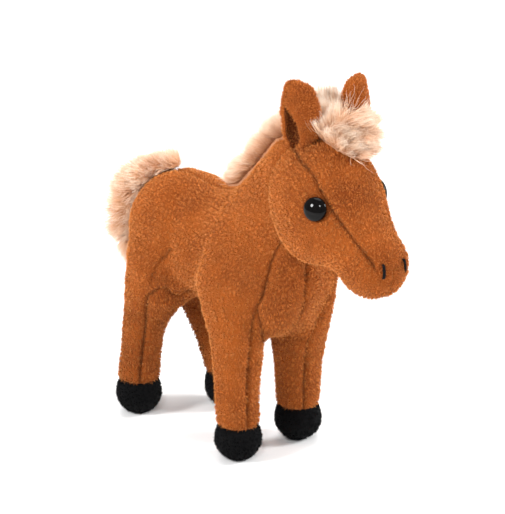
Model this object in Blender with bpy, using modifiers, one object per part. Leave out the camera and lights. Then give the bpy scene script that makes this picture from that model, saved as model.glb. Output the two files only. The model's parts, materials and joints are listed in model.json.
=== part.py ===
"""Plush horse, standing about 180 mm to the ear tips.

Row frame: metres, +Z up, origin on the floor under the middle of the bounding box.
The horse faces -Y. Its own left is +X and its own right is -X.

The toy is a set of sewn pile-fabric panels over wads of fibre stuffing, with four
black hoof cups, two-layer ears, long-pile mane, forelock and tail, two plastic eyes
held by washers inside the head, and two embroidered nostrils.
"""

import math

import bmesh
import bpy
import numpy as np
from mathutils import Matrix, Vector

# ---------------------------------------------------------------- dimensions, mm
SKIN = 1.5  # backing and pressed pile of one panel
SEAM_GAP = 0.50  # between two panels where they are sewn
STUFF_GAP = 0.40  # between the skin and the stuffing
HOOF_TOP = 16.3  # height of the seam between leg and hoof
HIP_CUT = ((7.0, 0.0, 52.0), (-0.6, 0.0, 0.8))  # the sloping plane between a left leg's wad and the body's
NECK_CUT = ((0.0, -34.0, 99.0), (0.0, -0.617, 0.787))
HEAD_CUT_Y = -64.5
TARGET_TRIANGLES = 2100  # of the whole outer skin before it is cut into panels

EYE_D = 10.0
EYE_RISE = 3.1
SHANK_D = 3.2
SHANK_LEN = 8.0
WASHER_D = 11.0
WASHER_T = 1.2
EYE_AT = {"right": (-16.2, -17.3, 2.2), "left": (17.7, -8.8, -0.2)}  # in the head's own axes
DIMPLE = (1.8, 5.5)  # depth and reach of the hollow that each eye's washer pulls into the skin

EAR_HEIGHT = {"right": 25.2, "left": 29.7}
EAR_LAYER = 1.3
EAR_ROOT = {"right": (-7.3, 5.0, 22.0), "left": (20.6, 3.0, 18.5)}  # in the head's axes
EAR_LEAN = {"right": 4.0, "left": 0.0}  # degrees outwards
EAR_TURN = {"right": 55.0, "left": 14.0}  # degrees, how far the hollow faces out from straight ahead

# Legs: centre line points and radii, from the hoof's middle up into the body.
LEGS = {
    "front_right": (
        [(-17.5, -33.4, 10.2), (-17.5, -33.4, 19.1), (-17.5, -32.9, 38.2), (-16.4, -31.8, 55.1), (-12.7, -26.5, 76.3)],
        [10.9, 9.7, 10.1, 12.2, 17.0],
    ),
    "front_left": (
        [(16.4, -33.0, 10.2), (16.2, -33.0, 19.1), (16.2, -33.2, 38.2), (15.3, -34.6, 55.1), (14.6, -33.6, 75.0)],
        [10.9, 9.9, 10.9, 13.4, 18.2],
    ),
    "hind_right": (
        [(-17.5, 33.4, 10.1), (-17.5, 32.9, 19.1), (-17.0, 31.3, 33.9), (-15.4, 29.2, 48.8), (-11.7, 22.3, 70.0)],
        [10.8, 9.5, 9.2, 10.8, 17.0],
    ),
    "hind_left": (
        [(17.0, 14.4, 10.1), (17.0, 16.8, 19.1), (16.6, 24.0, 33.9), (14.8, 29.8, 48.8), (11.7, 24.0, 70.0)],
        [10.8, 9.4, 9.0, 10.6, 17.0],
    ),
}
# Direction, in plan, from each leg's centre line to the seam down its front.
LEG_SEAM = {
    "front_right": (-0.19, -0.98),
    "front_left": (-0.38, -0.92),
    "hind_right": (-0.59, -0.80),
    "hind_left": (0.59, -0.80),
}

TORSO = [  # centre, radii, blend with what comes before
    ((0.0, 4.2, 85.1), (22.8, 40.3, 25.1), 0.0),
    ((0.0, -30.7, 80.0), (24.0, 27.0, 28.6), 8.5),
    ((0.0, 21.2, 83.2), (23.3, 27.0, 27.4), 6.4),
]
NECK = ([(0.0, -28.6, 93.3), (-1.1, -40.3, 107.1), (-2.1, -57.8, 130.4)], [24.4, 21.7, 18.6])
NECK_SQUEEZE = 0.86  # its width over its depth

HEAD_AT = np.array([-2.65, -70.5, 126.1])
HEAD_YAW = -6.5  # degrees, looking a little to its right
SKULL = ((0.5, 0.0, 1.6), (21.3, 26.8, 22.8))
CHEEK = ((8.3, -4.2, -8.5), (13.3, 20.0, 18.0))
NOSE_BRIDGE = ([(0.0, -8.5, -3.2), (0.0, -32.9, -17.5)], [19.6, 14.2])
MUZZLE = ((0.0, -36.0, -20.1), (12.7, 13.0, 13.0))


# ---------------------------------------------------------------- form, as distance-like fields
def soft_min(a, b, k):
    h = np.clip(0.5 + 0.5 * (b - a) / k, 0.0, 1.0)
    return b * (1 - h) + a * h - k * h * (1 - h)


def ellipsoid(p, centre, radii, pitch=0.0):
    q = p - np.array(centre)
    if pitch:
        c, s = math.cos(math.radians(pitch)), math.sin(math.radians(pitch))
        q = np.stack([q[:, 0], c * q[:, 1] + s * q[:, 2], -s * q[:, 1] + c * q[:, 2]], 1)
    r = np.array(radii)
    near = np.sqrt(((q / r) ** 2).sum(1))
    return near * (near - 1) / np.maximum(np.sqrt(((q / r**2) ** 2).sum(1)), 1e-9)


def smooth_line(points, radii, steps=3):
    """Catmull-Rom points and radii through the given ones."""
    rows = np.array([list(a) + [r] for a, r in zip(points, radii)], float)
    ends = np.vstack([2 * rows[0] - rows[1], rows, 2 * rows[-1] - rows[-2]])
    out = []
    for a, b, c, d in zip(ends, ends[1:], ends[2:], ends[3:]):
        for t in np.arange(steps) / steps:
            out.append(0.5 * (2 * b + (c - a) * t + (2 * a - 5 * b + 4 * c - d) * t**2 + (3 * b - a - 3 * c + d) * t**3))
    out = np.array(out + [rows[-1]])
    return out[:, :3], out[:, 3]


def tube(p, points, radii, squeeze=1.0):
    best = np.full(len(p), 1e9)
    for a, b, ra, rb in zip(points, points[1:], radii, radii[1:]):
        a, b = np.array(a, float), np.array(b, float)
        t = np.clip((p - a) @ (b - a) / ((b - a) @ (b - a)), 0, 1)
        q = p - a - t[:, None] * (b - a)
        q[:, 0] /= squeeze
        best = np.minimum(best, np.sqrt((q**2).sum(1)) - (ra + (rb - ra) * t))
    return best


def to_head(p):
    c, s = math.cos(math.radians(HEAD_YAW)), math.sin(math.radians(HEAD_YAW))
    q = p - HEAD_AT
    return np.stack([c * q[:, 0] + s * q[:, 1], -s * q[:, 0] + c * q[:, 1], q[:, 2]], 1)


def from_head(q):
    c, s = math.cos(math.radians(HEAD_YAW)), math.sin(math.radians(HEAD_YAW))
    q = np.atleast_2d(np.array(q, float))
    return np.stack([c * q[:, 0] - s * q[:, 1], s * q[:, 0] + c * q[:, 1], q[:, 2]], 1) + HEAD_AT


def mirrored(triple):
    return (-triple[0], triple[1], triple[2])


def head_form(p):
    q = to_head(p)
    cheeks = soft_min(ellipsoid(q, *CHEEK), ellipsoid(q, mirrored(CHEEK[0]), CHEEK[1]), 6.4)
    d = soft_min(ellipsoid(q, *SKULL), cheeks, 6.4)
    d = soft_min(d, tube(q, *NOSE_BRIDGE), 5.3)
    d = soft_min(d, ellipsoid(q, *MUZZLE, pitch=25.0), 5.3)
    depth, reach = DIMPLE
    for at in EYE_AT.values():
        d = d + depth * np.exp(-((q - np.array(at)) ** 2).sum(1) / (2 * reach * reach))
    return d


def body_form(p):
    d = ellipsoid(p, TORSO[0][0], TORSO[0][1])
    for centre, radii, blend in TORSO[1:]:
        d = soft_min(d, ellipsoid(p, centre, radii), blend)
    d = soft_min(d, tube(p, *NECK, squeeze=NECK_SQUEEZE), 10.6)
    for points, radii in LEGS.values():
        d = soft_min(d, tube(p, *smooth_line(points, radii)), 5.3)
    return d


def form(p):
    return soft_min(body_form(p), head_form(p), 4.2)


def slope(field, p, step=0.02):
    return np.stack([(field(p + step * e) - field(p - step * e)) / (2 * step) for e in np.eye(3)], 1)


def onto(p, level=0.0, rounds=6, field=form):
    """The points moved along the field's slope until they lie on its surface."""
    for _ in range(rounds):
        g = slope(field, p)
        p = p - ((field(p) - level) / np.maximum((g * g).sum(1), 0.05))[:, None] * g
    return p


def normals_at(p, field=form):
    g = slope(field, p, 0.3)
    return g / np.linalg.norm(g, axis=1)[:, None]


# ---------------------------------------------------------------- seams, zero where the sewing runs
def step01(x, lo, hi):
    t = np.clip((x - lo) / (hi - lo), 0, 1)
    return t * t * (3 - 2 * t)


def ear_point(s, t, offset, sx):
    """A pouch closed at its top, with a slit down its outer front: s round it from -1 to 1, t from root to top."""
    height = EAR_HEIGHT["right" if sx < 0 else "left"]
    wide = np.interp(t, [0, 0.05, 0.18, 0.50, 0.72, 0.80, 1], [3.8, 4.7, 6.1, 7.1, 6.5, 5.7, 5.7]) + offset
    deep = np.interp(t, [0, 0.05, 0.18, 0.50, 0.72, 0.80, 1], [2.6, 3.0, 3.7, 4.1, 2.9, 2.1, 2.1]) + offset
    outer = np.interp(t, [0, 0.18, 0.50, 0.72, 1], [98, 98, 100, 108, 112])
    inner = np.interp(t, [0, 0.18, 0.50, 0.64, 0.74, 0.84, 1], [155, 150, 150, 166, 196, 238, 238])
    a = np.radians(-outer + (s + 1) / 2 * (outer + inner))
    u = np.clip((t - 0.80) / 0.20, 0, 1) * math.pi / 2
    shut = np.clip(1 - np.sin(u) ** 2.5, 0, 1) ** 0.4
    x, y = wide * shut * np.sin(a), deep * shut * np.cos(a)
    z = np.where(t < 0.80, height * t, 0.80 * height + (0.20 * height + offset) * np.sin(u))
    x = x - 0.9 * np.interp(t, [0, 0.3], [1, 0])
    return np.stack([-sx * x, y, z - 0.24 * x * np.maximum(t, 0) ** 2], -1)


def seam_head(p):
    return head_form(p) - body_form(p)


def seam_hoof(p):
    return p[:, 2] - HOOF_TOP


def seam_middle(p):
    return p[:, 0] + 0.0


def seam_side(p):
    """Below zero on the chest, belly and inner legs, above it on the side panels."""
    x, y, z = p.T
    half = np.interp(z, [60, 71, 83.5, 100, 115], [17.8, 18.2, 16.3, 13.6, 11.5])
    wider = np.interp(z, [56, 66, 76, 90, 105], [17.8, 21.5, 23.0, 20.5, 14.0])
    half = np.where(x > 0, wider, half)
    half = half + (12.7 - half) * step01(y, -34, -24)
    side = np.abs(x) - half
    for name, (points, radii) in LEGS.items():
        line, _ = smooth_line(points, radii)
        cx, cy = np.interp(z, line[:, 2], line[:, 0]), np.interp(z, line[:, 2], line[:, 1])
        sx, sy = LEG_SEAM[name]
        out = 1.0 if cx.mean() > 0 else -1.0
        plane = out * ((x - cx) * -sy + (y - cy) * sx)
        top = (58, 76) if name.startswith("hind") else (46, 66)
        near = (1 - step01(z, *top)) * (1 - step01(np.abs(y - cy), 12, 17)) * (x * out > 0)
        side = side + (plane - side) * near
    # The chest panels reach up the front of the neck, the underbody stops below the flanks and rises before each thigh.
    flank = 65.0 + 6.5 * np.exp(-(((y - 10.5) / 5.0) ** 2))
    front = np.where(z < 93.3, -28.6 - y, (-28.6 - y) * 0.787 - (z - 93.3) * 0.617)
    return np.maximum(side, np.minimum(-front, z - flank))


def seam_chest(p):
    """Above zero on the chest panels, below it on the underbody."""
    x, y, z = p.T
    arch = np.interp(np.abs(x), [0, 8.5, 11.1, 14.1, 16.4, 18.2], [0, 1.6, 4.3, 10.3, 14.8, 17.5])
    return (-(y + 40.3) + (z - 52)) * 0.7 - arch


def seam_gusset(p):
    """Below zero on the strip from poll to nose, between the two sides of the head."""
    q = to_head(p)
    x, y, z = q.T
    half = np.interp(
        y, [-50, -48, -46.7, -42.4, -32.6, -20.8, -16.2, -2.2, 3.3, 12.7, 24], [2.0, 4.6, 7.2, 9.0, 10.2, 12.6, 13.8, 13.6, 11.6, 8.5, 5.0]
    )
    floor = np.interp(y, [-52, -36, 0, 22], [-17.5, -17.5, 1.6, 1.0])
    return np.maximum(np.abs(x) - half, floor - z)


def seam_chin(p):
    return to_head(p)[:, 0]


# ---------------------------------------------------------------- Blender helpers
for old in list(bpy.data.objects):
    bpy.data.objects.remove(old, do_unlink=True)

parts = bpy.data.collections.new("plush_horse")
cutters = bpy.data.collections.new("cutters")
bpy.context.scene.collection.children.link(parts)
bpy.context.scene.collection.children.link(cutters)


def material(name, colour, roughness, metallic=0.0):
    m = bpy.data.materials.new(name)
    m.use_nodes = True
    m.diffuse_color = (*colour, 1)
    shader = m.node_tree.nodes["Principled BSDF"]
    shader.inputs["Base Color"].default_value = (*colour, 1)
    shader.inputs["Roughness"].default_value = roughness
    shader.inputs["Metallic"].default_value = metallic
    return m


PLUSH = (0.45, 0.135, 0.035)
HOOF = (0.006, 0.006, 0.007)
FUR = (0.68, 0.45, 0.30)
FILL = (0.80, 0.79, 0.76)
PLASTIC = (0.005, 0.005, 0.005)


def new_object(name, mesh, colour, roughness, collection=parts, smooth=True):
    obj = bpy.data.objects.new(name, mesh)
    collection.objects.link(obj)
    mesh.materials.clear()
    mesh.materials.append(material(name, colour, roughness))
    if smooth:
        mesh.shade_smooth()
        mesh.set_sharp_from_angle(angle=math.radians(50))
    return obj


def mesh_from(bm, name):
    bmesh.ops.recalc_face_normals(bm, faces=bm.faces[:])
    if bm.calc_volume(signed=True) < 0:
        bmesh.ops.reverse_faces(bm, faces=bm.faces[:])
    mesh = bpy.data.meshes.new(name)
    bm.to_mesh(mesh)
    bm.free()
    return mesh


def evaluated_copy(obj):
    """A plain mesh of the object with its modifiers applied."""
    graph = bpy.context.evaluated_depsgraph_get()
    graph.update()
    return bpy.data.meshes.new_from_object(obj.evaluated_get(graph))


def points_of(bm):
    return np.array([v.co[:] for v in bm.verts]) * 1000.0


def place(bm, p):
    for v, co in zip(bm.verts, p / 1000.0):
        v.co = co


# ---------------------------------------------------------------- the whole skin, as one closed surface
def rough_horse():
    """Spheres along every limb and form, fused by a voxel remesh and thinned."""
    bm = bmesh.new()

    def ball(centre, radii, head=False):
        centre = from_head(centre)[0] if head else np.array(centre)
        turn = Matrix.Rotation(math.radians(HEAD_YAW if head else 0), 4, "Z")
        m = Matrix.Translation(Vector(centre / 1000)) @ turn @ Matrix.Diagonal((*[r / 1000 for r in radii], 1))
        bmesh.ops.create_uvsphere(bm, u_segments=24, v_segments=16, radius=1.0, matrix=m)

    for centre, radii, _ in TORSO:
        ball(centre, radii)
    for points, radii in LEGS.values():
        for c, r in zip(*smooth_line(points, radii, 4)):
            ball(c, (r, r, r))
    for c, r in zip(*smooth_line(*NECK, 6)):
        ball(c, (r * NECK_SQUEEZE, r, r))
    ball(*SKULL, head=True)
    ball(*CHEEK, head=True)
    ball(mirrored(CHEEK[0]), CHEEK[1], head=True)
    ball(*MUZZLE, head=True)
    for c, r in zip(*smooth_line(*NOSE_BRIDGE, 6)):
        ball(c, (r, r, r), head=True)
    mesh = bpy.data.meshes.new("rough")
    bm.to_mesh(mesh)
    bm.free()
    obj = bpy.data.objects.new("rough", mesh)
    cutters.objects.link(obj)
    fuse = obj.modifiers.new("fuse", "REMESH")
    fuse.mode = "VOXEL"
    fuse.voxel_size = 0.0022
    ease = obj.modifiers.new("ease", "SMOOTH")
    ease.factor = 0.5
    ease.iterations = 6
    dense = evaluated_copy(obj)
    thin = obj.modifiers.new("thin", "DECIMATE")
    thin.ratio = TARGET_TRIANGLES / (2 * len(dense.polygons))
    mesh = evaluated_copy(obj)
    bpy.data.objects.remove(obj, do_unlink=True)
    bpy.data.meshes.remove(dense)
    return mesh


def relaxed_skin():
    bm = bmesh.new()
    rough = rough_horse()
    bm.from_mesh(rough)
    bpy.data.meshes.remove(rough)
    bmesh.ops.triangulate(bm, faces=bm.faces[:])
    p = onto(points_of(bm))
    links = [[e.other_vert(v).index for e in v.link_edges] for v in bm.verts]
    for _ in range(8):
        mean = np.array([p[near].mean(0) for near in links])
        n = normals_at(p)
        move = mean - p
        move -= (move * n).sum(1)[:, None] * n
        p = onto(p + 0.5 * move, rounds=3)
    place(bm, p)
    # Finer round the eyes, so the skin can follow the hollow that each sits in.
    eyes = [onto(from_head(at), rounds=10)[0] for at in EYE_AT.values()]
    for reach in (11.0, 8.5):
        near = [
            e for e in bm.edges if min(np.linalg.norm(np.array((e.verts[0].co + e.verts[1].co) * 500) - at) for at in eyes) < reach
        ]
        bmesh.ops.subdivide_edges(bm, edges=near, cuts=1, use_grid_fill=True)
        bmesh.ops.triangulate(bm, faces=[f for f in bm.faces if len(f.verts) > 3])
        place(bm, onto(points_of(bm), rounds=4))
    return bm


def cut_along(bm, field, where=None, snap=1.1):
    """Runs an edge line through the surface where the field is zero. Near points are slid onto it."""
    locked = bm.verts.layers.int.get("locked") or bm.verts.layers.int.new("locked")
    bm.verts.ensure_lookup_table()
    p = points_of(bm)
    fixed = np.array([v[locked] for v in bm.verts], bool)
    inside = np.ones(len(p), bool) if where is None else where(p)
    slid = np.zeros(len(p), bool)
    for _ in range(3):
        g, n, value = slope(field, p, 0.1), normals_at(p), field(p)
        g -= (g * n).sum(1)[:, None] * n
        size = np.maximum(np.linalg.norm(g, axis=1), 1e-3)
        near = (np.abs(value) / size < snap) & ~fixed & inside & (size > 0.2)
        slid |= near
        p = np.where(near[:, None], p - (value / size**2)[:, None] * g, p)
        p = np.where(near[:, None], onto(p, rounds=3), p)
    place(bm, p)
    value = field(p)
    value[slid] = 0.0
    value[np.abs(value) < 0.02] = 0.0
    marked = {v for v, s in zip(bm.verts, value) if s == 0.0}
    side = dict(zip(bm.verts, value))
    for e in list(bm.edges):
        a, b = e.verts
        va, vb = side[a], side[b]
        if va * vb >= 0:
            continue
        if where is not None and not where(np.array([a.co[:], b.co[:]]) * 1000).any():
            continue
        # The field bends between the ends, so the crossing is found by halving.
        pa, pb = np.array(a.co) * 1000, np.array(b.co) * 1000
        lo, hi = 0.0, 1.0
        for _ in range(18):
            mid = 0.5 * (lo + hi)
            if field((pa + (pb - pa) * mid)[None])[0] * va > 0:
                lo = mid
            else:
                hi = mid
        _, fresh = bmesh.utils.edge_split(e, a, 0.5 * (lo + hi))
        marked.add(fresh)
        side[fresh] = 0.0
    bmesh.ops.connect_verts(bm, verts=list(marked))
    bmesh.ops.triangulate(bm, faces=[f for f in bm.faces if len(f.verts) > 3])
    for v in marked:
        if v.is_valid:
            v[locked] = 1
    p = points_of(bm)
    place(bm, onto(p, rounds=2))


def is_head(p):
    return seam_head(p) < 0.3


def is_body(p):
    return (seam_head(p) > -0.3) & (p[:, 2] > HOOF_TOP - 0.3)


skin = relaxed_skin()
cut_along(skin, seam_head)
cut_along(skin, seam_hoof)
cut_along(skin, seam_middle, is_body)
cut_along(skin, seam_side, is_body)
cut_along(skin, seam_chest, lambda p: is_body(p) & (seam_side(p) < 0.3) & (p[:, 1] < -10))
cut_along(skin, seam_gusset, is_head)
cut_along(skin, seam_chin, lambda p: is_head(p) & (seam_gusset(p) > -0.3))
bmesh.ops.dissolve_degenerate(skin, dist=0.00012, edges=skin.edges[:])
bmesh.ops.triangulate(skin, faces=[f for f in skin.faces if len(f.verts) > 3])
place(skin, onto(points_of(skin), rounds=3))


def panel_name(c):
    c = c[None]
    if seam_head(c)[0] < 0:
        if seam_gusset(c)[0] < 0:
            return "head_gusset"
        return "head_side_right" if seam_chin(c)[0] < 0 else "head_side_left"
    hand = "right" if c[0, 0] < 0 else "left"
    if c[0, 2] < HOOF_TOP:
        return f"hoof_{'front' if c[0, 1] < -10 else 'hind'}_{hand}"
    if seam_side(c)[0] > 0:
        return "body_side_" + hand
    if c[0, 1] < -10 and seam_chest(c)[0] > 0:
        return "chest_panel_" + hand
    return "underbody_" + hand


skin.verts.ensure_lookup_table()
skin.faces.ensure_lookup_table()
skin.verts.index_update()
outer = points_of(skin)
outward = normals_at(outer)
centres = np.array([outer[[v.index for v in f.verts]].mean(0) for f in skin.faces])
owner = [panel_name(c) for c in centres]
# A stray face that no neighbour shares a panel with goes to the panel round it.
for _ in range(3):
    for f in skin.faces:
        near = [owner[g.index] for e in f.edges for g in e.link_faces if g is not f]
        if owner[f.index] not in near:
            owner[f.index] = max(sorted(set(near)), key=near.count)


def panel_mesh(name):
    """One panel: its faces, drawn back from each seam by half the gap, and given thickness inwards."""
    bm = bmesh.new()
    made, back = {}, []
    for f in skin.faces:
        if owner[f.index] != name:
            continue
        for v in f.verts:
            if v.index not in made:
                made[v.index] = bm.verts.new(outer[v.index] / 1000)
                back.append(v.index)
        bm.faces.new([made[v.index] for v in f.verts])
    pulls = {v: [] for v in bm.verts}
    for e in bm.edges:
        if len(e.link_faces) == 1:
            face = e.link_faces[0]
            a, b = e.verts
            along = (b.co - a.co).normalized()
            face.normal_update()
            pull = face.normal.cross(along)
            inwards = face.calc_center_median() - (a.co + b.co) / 2
            if pull.dot(inwards) < 0:
                pull = -pull
            pulls[a].append(pull)
            pulls[b].append(pull)
    shift = {}
    for v, found in pulls.items():
        if found:
            total = sum(found, Vector())
            if len(found) >= 2 and total.length > 0.3:
                total = total / max(0.45, (1 + found[0].dot(found[-1])))
            shift[v] = total * (SEAM_GAP / 2000)
    inner = {}
    bm.verts.ensure_lookup_table()
    for v, index in zip(bm.verts, back):
        if v in shift:
            v.co += shift[v]
        inner[v] = v.co - Vector(outward[index]) * (SKIN / 1000)
    edges = [e for e in bm.edges if len(e.link_faces) == 1]
    faces = bm.faces[:]
    twin = {v: bm.verts.new(co) for v, co in inner.items()}
    for e in edges:
        loop = e.link_loops[0]
        a, b = loop.vert, loop.link_loop_next.vert
        bm.faces.new([b, a, twin[a]])
        bm.faces.new([b, twin[a], twin[b]])
    for f in faces:
        bm.faces.new([twin[v] for v in reversed(f.verts)])
    return bm


COLOURS = {"hoof": (HOOF, 0.85)}
for name in sorted(set(owner)):
    bm = panel_mesh(name)
    if name.startswith("hoof"):
        # A flat sole, so the horse stands.
        bmesh.ops.bisect_plane(
            bm, geom=bm.verts[:] + bm.edges[:] + bm.faces[:], plane_co=(0, 0, 0), plane_no=(0, 0, -1), clear_outer=True
        )
        rim = [e for e in bm.edges if len(e.link_faces) == 1]
        bmesh.ops.triangle_fill(bm, edges=rim, use_beauty=True)
    colour, rough = COLOURS.get(name.split("_")[0], (PLUSH, 0.9))
    new_object(name, mesh_from(bm, name), colour, rough)


# ---------------------------------------------------------------- stuffing
def stuffing(name, planes, pick=None):
    """The skin drawn in by its thickness and a gap, cut off by flat planes, each cut closed."""
    bm = bmesh.new()
    depth = SKIN + STUFF_GAP
    verts = [bm.verts.new((p - depth * n) / 1000) for p, n in zip(outer, outward)]
    for f in skin.faces:
        bm.faces.new([verts[v.index] for v in f.verts])
    for point, normal in planes:
        n = np.array(normal, float)
        point = np.array(point, float) - 0.15 * n / np.linalg.norm(n)
        bmesh.ops.bisect_plane(
            bm,
            geom=bm.verts[:] + bm.edges[:] + bm.faces[:],
            dist=1e-6,
            plane_co=point / 1000,
            plane_no=n,
            clear_outer=True,
        )
        if pick is not None:
            gone = [v for v in bm.verts if not pick(np.array(v.co) * 1000)]
            bmesh.ops.delete(bm, geom=gone, context="VERTS")
        rim = [e for e in bm.edges if len(e.link_faces) == 1]
        bmesh.ops.contextual_create(bm, geom=rim)
    bmesh.ops.triangulate(bm, faces=[f for f in bm.faces if len(f.verts) > 3])
    return new_object(name, mesh_from(bm, name), FILL, 1.0)


def flipped(plane):
    return plane[0], tuple(-c for c in plane[1])


HIPS = {"left": HIP_CUT, "right": (mirrored(HIP_CUT[0]), mirrored(HIP_CUT[1]))}
for leg in LEGS:
    hand = leg.split("_")[1]
    sx = -1 if hand == "right" else 1
    front = leg.startswith("front")
    stuffing(
        "stuffing_leg_" + leg,
        [HIPS[hand]],
        lambda c, sx=sx, front=front: c[0] * sx > 0 and (c[1] < -10) == front,
    )
stuffing("stuffing_body", [flipped(HIPS["left"]), flipped(HIPS["right"]), NECK_CUT])
stuffing("stuffing_neck", [flipped(NECK_CUT), ((0, HEAD_CUT_Y, 0), (0, -1, 0))])
head_fill = stuffing("stuffing_head", [((0, HEAD_CUT_Y, 0), (0, 1, 0))])


# ---------------------------------------------------------------- eyes
def turned(name, profile, steps, colour, roughness, collection=parts):
    """A Screw of a closed profile of (radius, height) points, in mm, round the local Z axis."""
    mesh = bpy.data.meshes.new(name)
    n = len(profile)
    ring = abs(profile[0][0] - profile[-1][0]) > 1e-6 or profile[0][0] > 1e-6
    edges = [(i, i + 1) for i in range(n - 1)] + ([(n - 1, 0)] if ring else [])
    mesh.from_pydata([(r / 1000, 0, z / 1000) for r, z in profile], edges, [])
    obj = bpy.data.objects.new(name, mesh)
    collection.objects.link(obj)
    screw = obj.modifiers.new("turn", "SCREW")
    screw.axis = "Z"
    screw.steps = screw.render_steps = steps
    screw.use_merge_vertices = True
    screw.merge_threshold = 0.00001
    screw.use_smooth_shade = True
    mesh = evaluated_copy(obj)
    obj.modifiers.clear()
    old = obj.data
    bm = bmesh.new()
    bm.from_mesh(mesh)
    bmesh.ops.remove_doubles(bm, verts=bm.verts[:], dist=1e-6)
    obj.data = mesh_from(bm, name)
    bpy.data.meshes.remove(old)
    bpy.data.meshes.remove(mesh)
    obj.data.materials.append(material(name, colour, roughness))
    obj.data.shade_smooth()
    obj.data.set_sharp_from_angle(angle=math.radians(40))
    return obj


def facing(point, normal):
    """Places local Z along the normal, at the point, both in mm."""
    turn = Vector(normal).to_track_quat("Z", "Y").to_matrix().to_4x4()
    return Matrix.Translation(Vector(point) / 1000) @ turn


def subtract(obj, cutter):
    cutter.hide_render = True
    cutter.display_type = "WIRE"
    cut = obj.modifiers.new("cut", "BOOLEAN")
    cut.object = cutter
    cut.operation = "DIFFERENCE"
    mesh = evaluated_copy(obj)
    obj.modifiers.clear()
    old = obj.data
    obj.data = mesh
    bpy.data.meshes.remove(old)
    bpy.data.objects.remove(cutter, do_unlink=True)


R = EYE_D / 2
dome = [(R * math.cos(a), 0.7 + (EYE_RISE - 0.7) * math.sin(a)) for a in np.radians([75, 60, 45, 30, 15, 0])]
for hand, sx in (("right", -1), ("left", 1)):
    seat = onto(from_head(EYE_AT[hand]), rounds=10)
    normal = normals_at(seat)[0]
    seat = seat[0]
    lift = 0.6  # the flange's underside stands this far off the pile
    eye = [(0, EYE_RISE + lift)] + [(r, z + lift) for r, z in dome] + [(R - 0.2, lift)]
    eye += [(SHANK_D / 2, lift), (SHANK_D / 2, lift - SHANK_LEN + 0.5), (SHANK_D / 2 - 0.5, lift - SHANK_LEN), (0, lift - SHANK_LEN)]
    obj = turned("eye_" + hand, eye, 16, PLASTIC, 0.08)
    obj.matrix_world = facing(seat, normal)
    top = -(SKIN + 1.0)
    ring = [(WASHER_D / 2, top), (WASHER_D / 2, top - WASHER_T), (SHANK_D / 2 + 0.3, top - WASHER_T), (SHANK_D / 2 + 0.3, top)]
    obj = turned("eye_washer_" + hand, ring, 16, (0.7, 0.7, 0.68), 0.4)
    obj.matrix_world = facing(seat, normal)

    bore = turned("bore", [(0, 3), (SHANK_D / 2 + 0.3, 3), (SHANK_D / 2 + 0.3, -4), (0, -4)], 16, FILL, 1, cutters)
    bore.matrix_world = facing(seat, normal)
    bpy.context.view_layer.update()
    subtract(bpy.data.objects["head_side_" + hand], bore)
    rw, rs = WASHER_D / 2 + 0.5, SHANK_D / 2 + 0.5
    low, end = top - WASHER_T - 0.4, lift - SHANK_LEN - 0.5
    pocket = turned("pocket", [(0, 3), (rw, 3), (rw, low), (rs, low), (rs, end), (0, end)], 16, FILL, 1, cutters)
    pocket.matrix_world = facing(seat, normal)
    bpy.context.view_layer.update()
    subtract(head_fill, pocket)


# ---------------------------------------------------------------- nostrils, a short bar of thread each
for hand, across in (("right", -3.7), ("left", 4.8)):
    line = from_head([(across, -60.0, z) for z in np.linspace(-13.6, -19.8, 5)])
    muzzle = from_head((0, -36.0, -20.1))[0]
    spots = []
    for point in line:
        # in from the front along the muzzle until it stands just off the skin
        a = point.copy()
        for _ in range(60):
            a = a + (muzzle - a) / np.linalg.norm(muzzle - a) * max(0.0, 0.8 * (form(a[None])[0] - 0.85)) * np.array([0.2, 1, 0.2])
        spots.append(a)
    curve = bpy.data.curves.new("nostril_stitch_" + hand, "CURVE")
    curve.dimensions = "3D"
    curve.bevel_depth = 0.0005
    curve.bevel_resolution = 1
    curve.use_fill_caps = True
    spline = curve.splines.new("POLY")
    spline.points.add(len(spots) - 1)
    for target, a in zip(spline.points, spots):
        target.co = (*(a / 1000), 1)
    holder = bpy.data.objects.new("thread", curve)
    parts.objects.link(holder)
    mesh = evaluated_copy(holder)
    bpy.data.objects.remove(holder, do_unlink=True)
    bm = bmesh.new()
    bm.from_mesh(mesh)
    bmesh.ops.remove_doubles(bm, verts=bm.verts[:], dist=1e-6)
    new_object("nostril_stitch_" + hand, mesh_from(bm, "nostril"), HOOF, 0.7)


# ---------------------------------------------------------------- ears, two cupped layers each
def ear_matrix(hand, sx):
    base = onto(from_head(EAR_ROOT[hand]), rounds=10)[0]
    turn = Matrix.Rotation(math.radians(HEAD_YAW + sx * EAR_TURN[hand]), 4, "Z")
    lean = Matrix.Rotation(math.radians(sx * EAR_LEAN[hand]), 4, "Y")
    return np.array(Matrix.Translation(Vector(base)) @ lean @ turn)


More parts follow.
